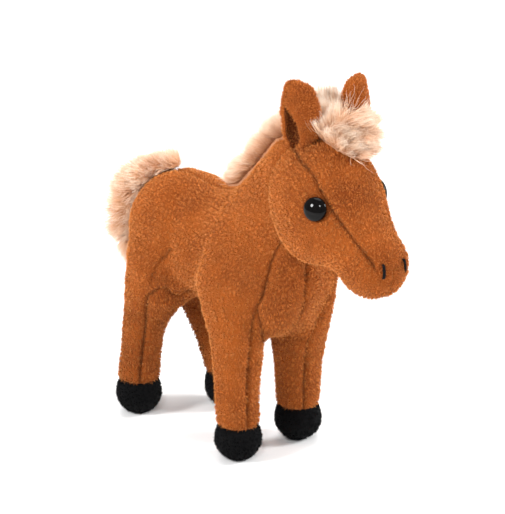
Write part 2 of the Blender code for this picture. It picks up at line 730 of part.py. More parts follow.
for hand, sx in (("right", -1), ("left", 1)):
    where = ear_matrix(hand, sx)
    rows, columns = np.array([0, 0.12, 0.27, 0.42, 0.56, 0.68, 0.78, 0.86, 0.93, 0.975]), np.linspace(-1, 1, 13)
    s, t = np.meshgrid(columns, rows)
    s, t = np.append(s.ravel(), 0.0), np.append(t.ravel(), 1.0)
    wide, pole = len(columns), len(s) - 1

    def sheet(offset):
        return ear_point(s, t, offset, sx) @ where[:3, :3].T + where[:3, 3]

    # The foot of the ear follows the head, clear of its pile.
    middle = sheet(0.0)
    lifted = middle.copy()
    for _ in range(5):
        lifted = lifted + np.maximum(EAR_LAYER + 1.1 - form(lifted), 0)[:, None] * normals_at(lifted)
    lift = lifted - middle
    for layer, near, far in (("ear_back", 0.15, 0.15 + EAR_LAYER), ("ear_lining", -0.15, -0.15 - EAR_LAYER)):
        leaf = bmesh.new()
        low = [leaf.verts.new(Vector(c) / 1000) for c in sheet(near) + lift]
        top = [leaf.verts.new(Vector(c) / 1000) for c in sheet(far) + lift]
        faces, rim = [], []
        for j in range(len(rows) - 1):
            for k in range(wide - 1):
                i = j * wide + k
                faces += [(i, i + 1, i + wide + 1), (i, i + wide + 1, i + wide)]
        last = pole - wide
        faces += [(last + k, last + k + 1, pole) for k in range(wide - 1)]
        rim += [(k, k + 1) for k in range(wide - 1)]
        rim += [(j * wide + wide - 1, (j + 1) * wide + wide - 1) for j in range(len(rows) - 1)] + [(pole - 1, pole)]
        rim += [(pole, last)] + [((j + 1) * wide, j * wide) for j in reversed(range(len(rows) - 1))]
        for i, j, k in faces:
            leaf.faces.new((top[i], top[j], top[k]))
            leaf.faces.new((low[k], low[j], low[i]))
        for i, j in rim:
            leaf.faces.new((top[j], top[i], low[i]))
            leaf.faces.new((top[j], low[i], low[j]))
        if leaf.calc_volume(signed=True) < 0:
            bmesh.ops.reverse_faces(leaf, faces=leaf.faces[:])
        new_object(f"{layer}_{hand}", mesh_from(leaf, layer), PLUSH, 0.9)


# ---------------------------------------------------------------- long-pile pieces, as the space their hair fills
def pile_blob(name, line, sizes, clear=0.6, segments=14, rings=12, avoid=None):
    """A sphere drawn out along a line. sizes gives (half width, half height) at each point of the line."""
    line, sizes = np.array(line, float), np.array(sizes, float)
    arc = np.concatenate([[0], np.cumsum(np.linalg.norm(np.diff(line, axis=0), axis=1))])
    arc /= arc[-1]
    bm = bmesh.new()
    bmesh.ops.create_uvsphere(bm, u_segments=segments, v_segments=rings, radius=1.0)
    p = points_of(bm) / 1000
    t = np.arccos(np.clip(p[:, 2], -1, 1)) / math.pi
    at = np.stack([np.interp(t, arc, line[:, i]) for i in range(3)], 1)
    ahead = np.stack([np.interp(np.clip(t + 0.03, 0, 1), arc, line[:, i]) for i in range(3)], 1)
    behind = np.stack([np.interp(np.clip(t - 0.03, 0, 1), arc, line[:, i]) for i in range(3)], 1)
    run = ahead - behind
    run /= np.linalg.norm(run, axis=1)[:, None]
    across = np.tile([1.0, 0.0, 0.0], (len(run), 1))
    across -= (across * run).sum(1)[:, None] * run
    across /= np.linalg.norm(across, axis=1)[:, None]
    up = np.cross(across, run)
    wide, high = np.interp(t, arc, sizes[:, 0]), np.interp(t, arc, sizes[:, 1])
    ring = np.linalg.norm(p[:, :2], axis=1)
    spread = np.minimum(1, ring * 1.25) / np.maximum(ring, 1e-6)
    q = at + across * (p[:, 0] * spread * wide)[:, None] + up * (p[:, 1] * spread * high)[:, None]
    for _ in range(12):
        short = clear - form(q)
        if avoid is not None:
            push = np.array([avoid(c) for c in q])
            q = q + push
        q = q + np.maximum(short, 0)[:, None] * normals_at(q)
    place(bm, q)
    bmesh.ops.triangulate(bm, faces=bm.faces[:])
    return new_object(name, mesh_from(bm, name), FUR, 1.0)


def over_skin(points, lift):
    """The points brought to the given height above the skin."""
    p = np.array(points, float)
    return onto(onto(p, rounds=4), np.array(lift, float), rounds=6)


pile_blob(
    "mane",
    over_skin([(0, -6, 111), (-0.4, -16, 118), (-1.0, -27, 134), (-1.6, -38, 150), (-2.2, -50, 158)], [2.6, 4.6, 6.2, 7.2, 8.2]),
    [(3, 2.2), (6.5, 4.3), (7, 5.8), (7, 6.8), (4.5, 6.8)],
)
pile_blob(
    "forelock",
    over_skin(from_head([(1.0, 9, 28), (2.5, -1, 30), (4.0, -9, 28), (6.0, -16, 24), (8.0, -22, 18)]), [10.5, 12.0, 11.5, 8.5, 5.0]),
    [(3.0, 7), (5.5, 10.5), (11, 10.5), (12.5, 8), (6.5, 4)],
)
pile_blob(
    "tail",
    over_skin([(0, 27, 113), (0, 39, 110), (0, 50, 98), (0, 55, 84), (0, 56, 70), (0, 55, 50)], [4.6, 6.6, 8.6, 10.0, 10.0, 8.0]),
    [(5, 3.2), (10, 5.4), (14, 7.4), (16.5, 8.8), (15.5, 8.4), (7.5, 5.4)],
    clear=1.2,
)

skin.free()

# ---------------------------------------------------------------- origin under the middle of the box
bpy.context.view_layer.update()
corners = np.array([obj.matrix_world @ v.co for obj in parts.objects for v in obj.data.vertices])
middle = (corners.max(0) + corners.min(0)) / 2
print("box mm", np.round(corners.min(0) * 1000, 2), np.round(corners.max(0) * 1000, 2))
for obj in parts.objects:
    move = Matrix.Translation((-middle[0], -middle[1], -corners[:, 2].min()))
    obj.matrix_world = move @ obj.matrix_world
bpy.context.view_layer.update()
print("moved by mm", np.round(-middle * 1000, 3))
print("triangles", sum(sum(len(f.vertices) - 2 for f in obj.data.polygons) for obj in parts.objects))
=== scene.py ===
"""Plush horse: the looks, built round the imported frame.

Lengths in the code are in millimetres in the pattern's own axes. SHIFT takes them to the
row frame, and every mesh is stored in metres in the row frame.
"""

import json
import math

import bpy
import numpy as np
from mathutils import Matrix, Vector
from mathutils.kdtree import KDTree


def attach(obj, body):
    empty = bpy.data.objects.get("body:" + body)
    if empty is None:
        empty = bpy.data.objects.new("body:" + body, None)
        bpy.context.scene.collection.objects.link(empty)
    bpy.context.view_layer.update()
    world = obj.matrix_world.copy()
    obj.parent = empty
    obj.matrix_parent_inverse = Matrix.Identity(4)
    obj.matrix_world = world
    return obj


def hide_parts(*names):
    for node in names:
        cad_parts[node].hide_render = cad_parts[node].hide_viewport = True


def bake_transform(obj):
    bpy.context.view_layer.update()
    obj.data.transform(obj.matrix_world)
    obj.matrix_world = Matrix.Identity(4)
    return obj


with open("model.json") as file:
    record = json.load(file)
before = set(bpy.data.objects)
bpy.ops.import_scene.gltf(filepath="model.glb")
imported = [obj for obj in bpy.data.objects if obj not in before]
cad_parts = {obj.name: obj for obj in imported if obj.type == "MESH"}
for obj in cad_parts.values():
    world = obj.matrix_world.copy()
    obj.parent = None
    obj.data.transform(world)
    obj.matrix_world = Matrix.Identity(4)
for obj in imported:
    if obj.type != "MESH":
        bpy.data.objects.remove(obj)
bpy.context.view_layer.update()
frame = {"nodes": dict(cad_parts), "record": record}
SOLE = next(m for m in frame["record"]["mounts"] if m["name"] == "sole_front_right")["pos_m"]
SHIFT = np.array(SOLE) * 1000 - np.array([-17.5, -33.4, 0.0])

# ---------------------------------------------------------------- dimensions, mm
SKIN = 1.5  # backing and pressed pile of one panel
SEAM_GAP = 0.50  # between two panels where they are sewn
STUFF_GAP = 0.40  # between the skin and the stuffing
HOOF_TOP = 16.3  # height of the seam between leg and hoof
HIP_CUT = ((7.0, 0.0, 52.0), (-0.6, 0.0, 0.8))  # the sloping plane between a left leg's wad and the body's
NECK_CUT = ((0.0, -34.0, 99.0), (0.0, -0.617, 0.787))
HEAD_CUT_Y = -64.5
TARGET_TRIANGLES = 2100  # of the whole outer skin before it is cut into panels

EYE_D = 10.0
EYE_RISE = 3.1
SHANK_D = 3.2
SHANK_LEN = 8.0
WASHER_D = 11.0
WASHER_T = 1.2
EYE_AT = {"right": (-16.2, -17.3, 2.2), "left": (17.7, -8.8, -0.2)}  # in the head's own axes
DIMPLE = (1.8, 5.5)  # depth and reach of the hollow that each eye's washer pulls into the skin

EAR_HEIGHT = {"right": 25.2, "left": 29.7}
EAR_LAYER = 1.3
EAR_ROOT = {"right": (-7.3, 5.0, 22.0), "left": (20.6, 3.0, 18.5)}  # in the head's axes
EAR_LEAN = {"right": 4.0, "left": 0.0}  # degrees outwards
EAR_TURN = {"right": 55.0, "left": 14.0}  # degrees, how far the hollow faces out from straight ahead

# Legs: centre line points and radii, from the hoof's middle up into the body.
LEGS = {
    "front_right": (
        [(-17.5, -33.4, 10.2), (-17.5, -33.4, 19.1), (-17.5, -32.9, 38.2), (-16.4, -31.8, 55.1), (-12.7, -26.5, 76.3)],
        [10.9, 9.7, 10.1, 12.2, 17.0],
    ),
    "front_left": (
        [(16.4, -33.0, 10.2), (16.2, -33.0, 19.1), (16.2, -33.2, 38.2), (15.3, -34.6, 55.1), (14.6, -33.6, 75.0)],
        [10.9, 9.9, 10.9, 13.4, 18.2],
    ),
    "hind_right": (
        [(-17.5, 33.4, 10.1), (-17.5, 32.9, 19.1), (-17.0, 31.3, 33.9), (-15.4, 29.2, 48.8), (-11.7, 22.3, 70.0)],
        [10.8, 9.5, 9.2, 10.8, 17.0],
    ),
    "hind_left": (
        [(17.0, 14.4, 10.1), (17.0, 16.8, 19.1), (16.6, 24.0, 33.9), (14.8, 29.8, 48.8), (11.7, 24.0, 70.0)],
        [10.8, 9.4, 9.0, 10.6, 17.0],
    ),
}
# Direction, in plan, from each leg's centre line to the seam down its front.
LEG_SEAM = {
    "front_right": (-0.19, -0.98),
    "front_left": (-0.38, -0.92),
    "hind_right": (-0.59, -0.80),
    "hind_left": (0.59, -0.80),
}

TORSO = [  # centre, radii, blend with what comes before
    ((0.0, 4.2, 85.1), (22.8, 40.3, 25.1), 0.0),
    ((0.0, -30.7, 80.0), (24.0, 27.0, 28.6), 8.5),
    ((0.0, 21.2, 83.2), (23.3, 27.0, 27.4), 6.4),
]
NECK = ([(0.0, -28.6, 93.3), (-1.1, -40.3, 107.1), (-2.1, -57.8, 130.4)], [24.4, 21.7, 18.6])
NECK_SQUEEZE = 0.86  # its width over its depth

HEAD_AT = np.array([-2.65, -70.5, 126.1])
HEAD_YAW = -6.5  # degrees, looking a little to its right
SKULL = ((0.5, 0.0, 1.6), (21.3, 26.8, 22.8))
CHEEK = ((8.3, -4.2, -8.5), (13.3, 20.0, 18.0))
NOSE_BRIDGE = ([(0.0, -8.5, -3.2), (0.0, -32.9, -17.5)], [19.6, 14.2])
MUZZLE = ((0.0, -36.0, -20.1), (12.7, 13.0, 13.0))


# ---------------------------------------------------------------- form, as distance-like fields
def soft_min(a, b, k):
    h = np.clip(0.5 + 0.5 * (b - a) / k, 0.0, 1.0)
    return b * (1 - h) + a * h - k * h * (1 - h)


def ellipsoid(p, centre, radii, pitch=0.0):
    q = p - np.array(centre)
    if pitch:
        c, s = math.cos(math.radians(pitch)), math.sin(math.radians(pitch))
        q = np.stack([q[:, 0], c * q[:, 1] + s * q[:, 2], -s * q[:, 1] + c * q[:, 2]], 1)
    r = np.array(radii)
    near = np.sqrt(((q / r) ** 2).sum(1))
    return near * (near - 1) / np.maximum(np.sqrt(((q / r**2) ** 2).sum(1)), 1e-9)


def smooth_line(points, radii, steps=3):
    """Catmull-Rom points and radii through the given ones."""
    rows = np.array([list(a) + [r] for a, r in zip(points, radii)], float)
    ends = np.vstack([2 * rows[0] - rows[1], rows, 2 * rows[-1] - rows[-2]])
    out = []
    for a, b, c, d in zip(ends, ends[1:], ends[2:], ends[3:]):
        for t in np.arange(steps) / steps:
            out.append(0.5 * (2 * b + (c - a) * t + (2 * a - 5 * b + 4 * c - d) * t**2 + (3 * b - a - 3 * c + d) * t**3))
    out = np.array(out + [rows[-1]])
    return out[:, :3], out[:, 3]


def tube(p, points, radii, squeeze=1.0):
    best = np.full(len(p), 1e9)
    for a, b, ra, rb in zip(points, points[1:], radii, radii[1:]):
        a, b = np.array(a, float), np.array(b, float)
        t = np.clip((p - a) @ (b - a) / ((b - a) @ (b - a)), 0, 1)
        q = p - a - t[:, None] * (b - a)
        q[:, 0] /= squeeze
        best = np.minimum(best, np.sqrt((q**2).sum(1)) - (ra + (rb - ra) * t))
    return best


def to_head(p):
    c, s = math.cos(math.radians(HEAD_YAW)), math.sin(math.radians(HEAD_YAW))
    q = p - HEAD_AT
    return np.stack([c * q[:, 0] + s * q[:, 1], -s * q[:, 0] + c * q[:, 1], q[:, 2]], 1)


def from_head(q):
    c, s = math.cos(math.radians(HEAD_YAW)), math.sin(math.radians(HEAD_YAW))
    q = np.atleast_2d(np.array(q, float))
    return np.stack([c * q[:, 0] - s * q[:, 1], s * q[:, 0] + c * q[:, 1], q[:, 2]], 1) + HEAD_AT


def mirrored(triple):
    return (-triple[0], triple[1], triple[2])


def head_form(p):
    q = to_head(p)
    cheeks = soft_min(ellipsoid(q, *CHEEK), ellipsoid(q, mirrored(CHEEK[0]), CHEEK[1]), 6.4)
    d = soft_min(ellipsoid(q, *SKULL), cheeks, 6.4)
    d = soft_min(d, tube(q, *NOSE_BRIDGE), 5.3)
    d = soft_min(d, ellipsoid(q, *MUZZLE, pitch=25.0), 5.3)
    depth, reach = DIMPLE
    for at in EYE_AT.values():
        d = d + depth * np.exp(-((q - np.array(at)) ** 2).sum(1) / (2 * reach * reach))
    return d


def body_form(p):
    d = ellipsoid(p, TORSO[0][0], TORSO[0][1])
    for centre, radii, blend in TORSO[1:]:
        d = soft_min(d, ellipsoid(p, centre, radii), blend)
    d = soft_min(d, tube(p, *NECK, squeeze=NECK_SQUEEZE), 10.6)
    for points, radii in LEGS.values():
        d = soft_min(d, tube(p, *smooth_line(points, radii)), 5.3)
    return d


def form(p):
    return soft_min(body_form(p), head_form(p), 4.2)


def slope(field, p, step=0.02):
    return np.stack([(field(p + step * e) - field(p - step * e)) / (2 * step) for e in np.eye(3)], 1)


def onto(p, level=0.0, rounds=6, field=form):
    """The points moved along the field's slope until they lie on its surface."""
    for _ in range(rounds):
        g = slope(field, p)
        p = p - ((field(p) - level) / np.maximum((g * g).sum(1), 0.05))[:, None] * g
    return p


def normals_at(p, field=form):
    g = slope(field, p, 0.3)
    return g / np.linalg.norm(g, axis=1)[:, None]


# ---------------------------------------------------------------- seams, zero where the sewing runs
def step01(x, lo, hi):
    t = np.clip((x - lo) / (hi - lo), 0, 1)
    return t * t * (3 - 2 * t)


def ear_point(s, t, offset, sx):
    """A pouch closed at its top, with a slit down its outer front: s round it from -1 to 1, t from root to top."""
    height = EAR_HEIGHT["right" if sx < 0 else "left"]
    wide = np.interp(t, [0, 0.05, 0.18, 0.50, 0.72, 0.80, 1], [4.4, 5.4, 6.8, 7.3, 6.7, 5.8, 5.7]) + offset
    deep = np.interp(t, [0, 0.05, 0.18, 0.50, 0.72, 0.80, 1], [2.6, 3.0, 3.7, 4.1, 2.9, 2.1, 2.1]) + offset
    outer = np.interp(t, [0, 0.18, 0.50, 0.72, 1], [112, 116, 120, 119, 114])
    inner = np.interp(t, [0, 0.18, 0.40, 0.52, 0.61, 0.69, 1], [168, 174, 184, 198, 216, 232, 232])
    a = np.radians(-outer + (s + 1) / 2 * (outer + inner))
    u = np.clip((t - 0.80) / 0.20, 0, 1) * math.pi / 2
    shut = np.clip(1 - np.sin(u) ** 2.5, 0, 1) ** 0.4
    x, y = wide * shut * np.sin(a), deep * shut * np.cos(a)
    z = np.where(t < 0.80, height * t, 0.80 * height + (0.20 * height + offset) * np.sin(u))
    x = x - 0.9 * np.interp(t, [0, 0.3], [1, 0])
    return np.stack([-sx * x, y, z - 0.24 * x * np.maximum(t, 0) ** 2], -1)


def seam_head(p):
    return head_form(p) - body_form(p)


def seam_hoof(p):
    return p[:, 2] - HOOF_TOP


def seam_middle(p):
    return p[:, 0] + 0.0


def seam_side(p):
    """Below zero on the chest, belly and inner legs, above it on the side panels."""
    x, y, z = p.T
    half = np.interp(z, [60, 71, 83.5, 100, 115], [17.8, 18.2, 16.3, 13.6, 11.5])
    wider = np.interp(z, [56, 66, 76, 90, 105], [17.8, 21.5, 23.0, 20.5, 14.0])
    half = np.where(x > 0, wider, half)
    half = half + (12.7 - half) * step01(y, -34, -24)
    side = np.abs(x) - half
    for name, (points, radii) in LEGS.items():
        line, _ = smooth_line(points, radii)
        cx, cy = np.interp(z, line[:, 2], line[:, 0]), np.interp(z, line[:, 2], line[:, 1])
        sx, sy = LEG_SEAM[name]
        out = 1.0 if cx.mean() > 0 else -1.0
        if name == "hind_right":  # it swings outwards as it climbs the thigh
            turn = np.arctan2(-sy, abs(sx)) - np.radians(np.interp(z, [40, 49, 60, 72], [0, 8, 21, 13]))
            sx, sy = out * np.cos(turn), -np.sin(turn)
        plane = out * ((x - cx) * -sy + (y - cy) * sx)
        top = (58, 76) if name.startswith("hind") else (46, 66)
        near = (1 - step01(z, *top)) * (1 - step01(np.abs(y - cy), 12, 17)) * (x * out > 0)
        side = side + (plane - side) * near
    # The chest panels reach up the front of the neck, the underbody stops below the flanks and rises before each thigh.
    flank = 65.0 + 6.5 * np.exp(-(((y - 10.5) / 5.0) ** 2))
    front = np.where(z < 93.3, -28.6 - y, (-28.6 - y) * 0.787 - (z - 93.3) * 0.617)
    return np.maximum(side, np.minimum(-front, z - flank))


def seam_chest(p):
    """Above zero on the chest panels, below it on the underbody."""
    x, y, z = p.T
    arch = np.interp(np.abs(x), [0, 8.5, 11.1, 14.1, 16.4, 18.2], [0, 1.6, 4.3, 10.3, 14.8, 17.5])
    return (-(y + 40.3) + (z - 52)) * 0.7 - arch


def seam_gusset(p):
    """Below zero on the strip from poll to nose, between the two sides of the head."""
    q = to_head(p)
    x, y, z = q.T
    half = np.interp(
        y, [-50, -48, -46.7, -42.4, -32.6, -20.8, -16.2, -2.2, 3.3, 12.7, 24], [2.0, 4.6, 7.2, 9.0, 10.2, 12.6, 13.8, 13.6, 11.6, 8.5, 5.0]
    )
    floor = np.interp(y, [-52, -36, 0, 22], [-17.5, -17.5, 1.6, 1.0])
    return np.maximum(np.abs(x) - half, floor - z)


def seam_chin(p):
    return to_head(p)[:, 0]


# ---------------------------------------------------------------- small tools
def hash3(i, seed):
    """A number from 0 to 1 for each whole-number cell."""
    h = np.sin(i @ np.array([127.1, 311.7, 74.7]) + seed * 53.31) * 43758.5453
    return h - np.floor(h)


def noise(p, scale, seed=0.0):
    """Smooth noise from -1 to 1, with the given size of its lumps."""
    q = p / scale + 1000.0
    i = np.floor(q)
    f = q - i
    u = f * f * (3 - 2 * f)
    total = 0.0
    for a in (0, 1):
        for b in (0, 1):
            for c in (0, 1):
                w = (u[:, 0] if a else 1 - u[:, 0]) * (u[:, 1] if b else 1 - u[:, 1]) * (u[:, 2] if c else 1 - u[:, 2])
                total = total + w * hash3(i + np.array([a, b, c]), seed)
    return total * 2 - 1


def unit(v):
    return v / np.maximum(np.linalg.norm(v, axis=-1, keepdims=True), 1e-9)


def face_normals(P, T):
    return np.cross(P[T[:, 1]] - P[T[:, 0]], P[T[:, 2]] - P[T[:, 0]])


def vertex_normals(P, T):
    n = np.zeros_like(P)
    f = face_normals(P, T)
    for k in range(3):
        np.add.at(n, T[:, k], f)
    return unit(n)


def make_object(name, P, faces, material, uv=None, smooth=True):
    """A mesh object from points in pattern millimetres. faces is an array with one row per face."""
    mesh = bpy.data.meshes.new(name)
    faces = np.asarray(faces, np.int32)
    n, k = faces.shape
    mesh.vertices.add(len(P))
    mesh.vertices.foreach_set("co", ((P + SHIFT) / 1000).astype(np.float32).ravel())
    mesh.loops.add(n * k)
    mesh.loops.foreach_set("vertex_index", faces.ravel())
    mesh.polygons.add(n)
    mesh.polygons.foreach_set("loop_start", np.arange(0, n * k, k, dtype=np.int32))
    mesh.polygons.foreach_set("use_smooth", np.full(n, smooth))
    if uv is not None:
        layer = mesh.uv_layers.new(name="OFBake")
        layer.data.foreach_set("uv", uv.astype(np.float32).ravel())
    mesh.update(calc_edges=True)
    mesh.materials.append(material)
    obj = bpy.data.objects.new(name, mesh)
    bpy.context.scene.collection.objects.link(obj)
    return obj


def nearest(points, to):
    """Distance from each of `to` to the nearest of the points, and which one it is."""
    tree = KDTree(len(points))
    for i, p in enumerate(points):
        tree.insert(p, i)
    tree.balance()
    found = [tree.find(p) for p in to]
    return np.array([f[2] for f in found]), np.array([f[1] for f in found])


# ---------------------------------------------------------------- a closed surface from a field
def surface_nets(values, low, h):
    """Quads where the values on a grid change sign, negative inside."""
    n = values.shape
    s = values < 0
    corner = [(i, j, k) for i in (0, 1) for j in (0, 1) for k in (0, 1)]
    c = [s[i : n[0] - 1 + i, j : n[1] - 1 + j, k : n[2] - 1 + k] for i, j, k in corner]
    active = np.logical_or.reduce(c) & ~np.logical_and.reduce(c)
    index = -np.ones(active.shape, np.int64)
    cells = np.argwhere(active)
    index[active] = np.arange(len(cells))
    total, count = np.zeros((len(cells), 3)), np.zeros(len(cells))
    at = {q: values[cells[:, 0] + q[0], cells[:, 1] + q[1], cells[:, 2] + q[2]].astype(float) for q in corner}
    for axis in range(3):
        for q in corner:
            if q[axis]:
                continue
            r = list(q)
            r[axis] = 1
            a, b = at[q], at[tuple(r)]
            crosses = (a < 0) != (b < 0)
            t = np.where(crosses, a / np.where(crosses, a - b, 1), 0)
            point = np.tile(np.array(q, float), (len(cells), 1))
            point[:, axis] = t
            total[crosses] += point[crosses]
            count[crosses] += 1
    points = (cells + total / count[:, None]) * h + np.array(low)
    quads = []
    for axis in range(3):
        a, b = (axis + 1) % 3, (axis + 2) % 3
        first, second = [slice(None)] * 3, [slice(None)] * 3
        first[axis], second[axis] = slice(0, n[axis] - 1), slice(1, n[axis])
        for t in (a, b):
            first[t] = second[t] = slice(1, n[t] - 1)
        e0, e1 = s[tuple(first)], s[tuple(second)]
        change = np.argwhere(e0 != e1)
        inside = e0[tuple(change.T)]

        def cell(da, db):
            q = change.copy()
            q[:, a] += da
            q[:, b] += db
            return index[tuple(q.T)]

        quad = np.stack([cell(0, 0), cell(1, 0), cell(1, 1), cell(0, 1)], 1)
        quad[~inside] = quad[~inside][:, ::-1]
        quads.append(quad)
    return points, np.concatenate(quads)


def net_of(field, low, high, h, coarse=4):
    """surface_nets of a field, worked out only near its surface."""
    low = np.array(low, float)
    size = np.ceil((np.array(high) - low) / (h * coarse)).astype(int)
    axes = [low[i] + h * coarse * (np.arange(size[i]) + 0.5) for i in range(3)]
    centre = np.stack(np.meshgrid(*axes, indexing="ij"), -1).reshape(-1, 3)
    rough = field(centre).reshape(size)
    fine = np.repeat(np.repeat(np.repeat(rough, coarse, 0), coarse, 1), coarse, 2)
    near = np.argwhere(np.abs(fine) < h * coarse * 1.6)
    points = low + (near + 0.5) * h
    out = np.empty(len(points))
    for i in range(0, len(points), 400000):
        out[i : i + 400000] = field(points[i : i + 400000])
    fine[tuple(near.T)] = out
    return surface_nets(fine, low + 0.5 * h, h)


def relax(P, Q, field, level, rounds):
    """Evens the points out over the surface."""
    pairs = np.concatenate([Q[:, [0, 1]], Q[:, [1, 2]], Q[:, [2, 3]], Q[:, [3, 0]]])
    for _ in range(rounds):
        total, count = np.zeros_like(P), np.zeros(len(P))
        for a, b in ((0, 1), (1, 0)):
            np.add.at(total, pairs[:, a], P[pairs[:, b]])
            np.add.at(count, pairs[:, a], 1)
        move = total / count[:, None] - P
        n = normals_at(P, field)
        move -= (move * n).sum(1)[:, None] * n
        P = onto(P + 0.6 * move, level, 1, field)
    return onto(P, level, 2, field)


def triangles(P, Q):
    """Each quad cut along its shorter diagonal."""
    ac = np.linalg.norm(P[Q[:, 0]] - P[Q[:, 2]], axis=1)
    bd = np.linalg.norm(P[Q[:, 1]] - P[Q[:, 3]], axis=1)
    one = ac <= bd
    first = np.where(one[:, None], Q[:, [0, 1, 2]], Q[:, [0, 1, 3]])
    second = np.where(one[:, None], Q[:, [0, 2, 3]], Q[:, [1, 2, 3]])
    return np.concatenate([first, second])


def cut(P, T, field, where=None, level=0.0, snap=0.32):
    """Runs an edge line through the triangles where the field is zero. Near points are slid onto it."""
    value = field(P)
    inside = np.ones(len(P), bool) if where is None else where(P)
    near = np.flatnonzero((np.abs(value) < 1.6) & inside)
    if len(near):
        q = P[near]
        start = q.copy()
        for _ in range(3):
            g, n, v = slope(field, q, 0.1), normals_at(q), field(q)
            g -= (g * n).sum(1)[:, None] * n
            size = np.maximum(np.linalg.norm(g, axis=1), 1e-3)
            q = onto(q - (v / size**2)[:, None] * g, level, 2)
        good = (np.linalg.norm(q - start, axis=1) < snap) & (np.abs(field(q)) < 0.05)
        P = P.copy()
        P[near[good]] = q[good]
        value = field(P)
        value[near[good]] = 0.0
    E = np.concatenate([T[:, [0, 1]], T[:, [1, 2]], T[:, [2, 0]]])
    low, high = E.min(1), E.max(1)
    key = low.astype(np.int64) * len(P) + high
    crossing = (value[low] * value[high] < 0) & (inside[low] | inside[high])
    found, back = np.unique(key[crossing], return_inverse=True)
    a, b = P[found // len(P)], P[found % len(P)]
    va = value[found // len(P)]
    lo, hi = np.zeros(len(found)), np.ones(len(found))
    for _ in range(14):
        mid = (lo + hi) / 2
        same = field(a + (b - a) * mid[:, None]) * va > 0
        lo, hi = np.where(same, mid, lo), np.where(same, hi, mid)
    fresh = onto(a + (b - a) * ((lo + hi) / 2)[:, None], level, 2)
    mark = -np.ones(len(E), np.int64)
    mark[crossing] = len(P) + back.reshape(-1)
    m = mark.reshape(3, len(T)).T  # the new point on edges ab, bc and ca
    P = np.concatenate([P, fresh])
    count = (m >= 0).sum(1)
    out = [T[count == 0]]
    for k in range(3):
        turn = [k, (k + 1) % 3, (k + 2) % 3]
        t, n = T[:, turn], m[:, turn]
        one = (count == 1) & (n[:, 0] >= 0)
        out += [np.stack([t[one, 0], n[one, 0], t[one, 2]], 1), np.stack([n[one, 0], t[one, 1], t[one, 2]], 1)]
        two = (count == 2) & (n[:, 1] < 0)  # edges ab and ca are crossed
        A, B, C, ab, ca = t[two, 0], t[two, 1], t[two, 2], n[two, 0], n[two, 2]
        out += [np.stack([A, ab, ca], 1), np.stack([ab, B, C], 1), np.stack([ab, C, ca], 1)]
    return P, np.concatenate(out)


# ---------------------------------------------------------------- materials
def srgb(r, g, b):
    out = []
    for c in (r, g, b):
        c /= 255
        out.append(c / 12.92 if c <= 0.04045 else ((c + 0.055) / 1.055) ** 2.4)
    return (*out, 1.0)


class Nodes:
    def __init__(self, name):
        self.material = bpy.data.materials.new(name)
        self.material.use_nodes = True
        self.tree = self.material.node_tree
        self.shader = self.tree.nodes["Principled BSDF"]

    def add(self, kind, **values):
        node = self.tree.nodes.new(kind)
        for key, value in values.items():
            if key in node.inputs:
                node.inputs[key].default_value = value
            else:
                setattr(node, key, value)
        return node

    def link(self, a, b):
        self.tree.links.new(a, b)

    def set(self, **values):
        for key, value in values.items():
            self.shader.inputs[key.replace("_", " ")].default_value = value

    def noise(self, size, detail=3.0, rough=0.55, distortion=0.0, stretch=None):
        """Noise with lumps of the given size in millimetres, in object space."""
        place = self.add("ShaderNodeTexCoord").outputs["Object"]
        if stretch is not None:
            mapping = self.add("ShaderNodeMapping")
            mapping.inputs["Scale"].default_value = stretch
            self.link(place, mapping.inputs["Vector"])
            place = mapping.outputs["Vector"]
        node = self.add("ShaderNodeTexNoise")
        node.inputs["Scale"].default_value = 1000.0 / size / 2
        node.inputs["Detail"].default_value = detail
        node.inputs["Roughness"].default_value = rough
        node.inputs["Distortion"].default_value = distortion
        self.link(place, node.inputs["Vector"])
        return node.outputs["Fac"]

    def ramp(self, factor, stops, mode="EASE"):
        node = self.add("ShaderNodeValToRGB")
        node.color_ramp.interpolation = mode
        while len(node.color_ramp.elements) < len(stops):
            node.color_ramp.elements.new(0.5)
        for element, (at, colour) in zip(node.color_ramp.elements, stops):
            element.position = at
            element.color = colour if isinstance(colour, tuple) else (colour, colour, colour, 1)
        self.link(factor, node.inputs["Fac"])
        return node.outputs["Color"]

    def mix(self, factor, a, b, mode="MIX"):
        node = self.add("ShaderNodeMix")
        node.data_type = "RGBA"
        node.blend_type = mode
        for socket, value in ((node.inputs[0], factor), (node.inputs[6], a), (node.inputs[7], b)):
            if isinstance(value, (int, float, tuple)):
                socket.default_value = value
            else:
                self.link(value, socket)
        return node.outputs[2]

    def bump(self, height, strength, distance):
        node = self.add("ShaderNodeBump")
        node.inputs["Strength"].default_value = strength
        node.inputs["Distance"].default_value = distance / 1000
        self.link(height, node.inputs["Height"])
        self.link(node.outputs["Normal"], self.shader.inputs["Normal"])


def pile_ground(name, dark, light, sheen_tint, sheen):
    """The cloth that the pile stands on, and the pile's own mottling."""
    m = Nodes(name)
    broad = m.noise(9.0, detail=2.0)
    fine = m.noise(0.9, detail=4.0, rough=0.65)
    base = m.mix(m.ramp(broad, [(0.3, 0.0), (0.7, 1.0)]), dark, light)
    base = m.mix(m.ramp(fine, [(0.35, 0.0), (0.62, 0.75)]), base, m.mix(0.5, base, light))
    m.link(base, m.shader.inputs["Base Color"])
    m.set(Roughness=0.95, Sheen_Weight=sheen, Sheen_Roughness=0.45, Sheen_Tint=sheen_tint)
    m.shader.inputs["Specular IOR Level"].default_value = 0.15
    m.bump(fine, 0.7, 0.5)
    return m.material


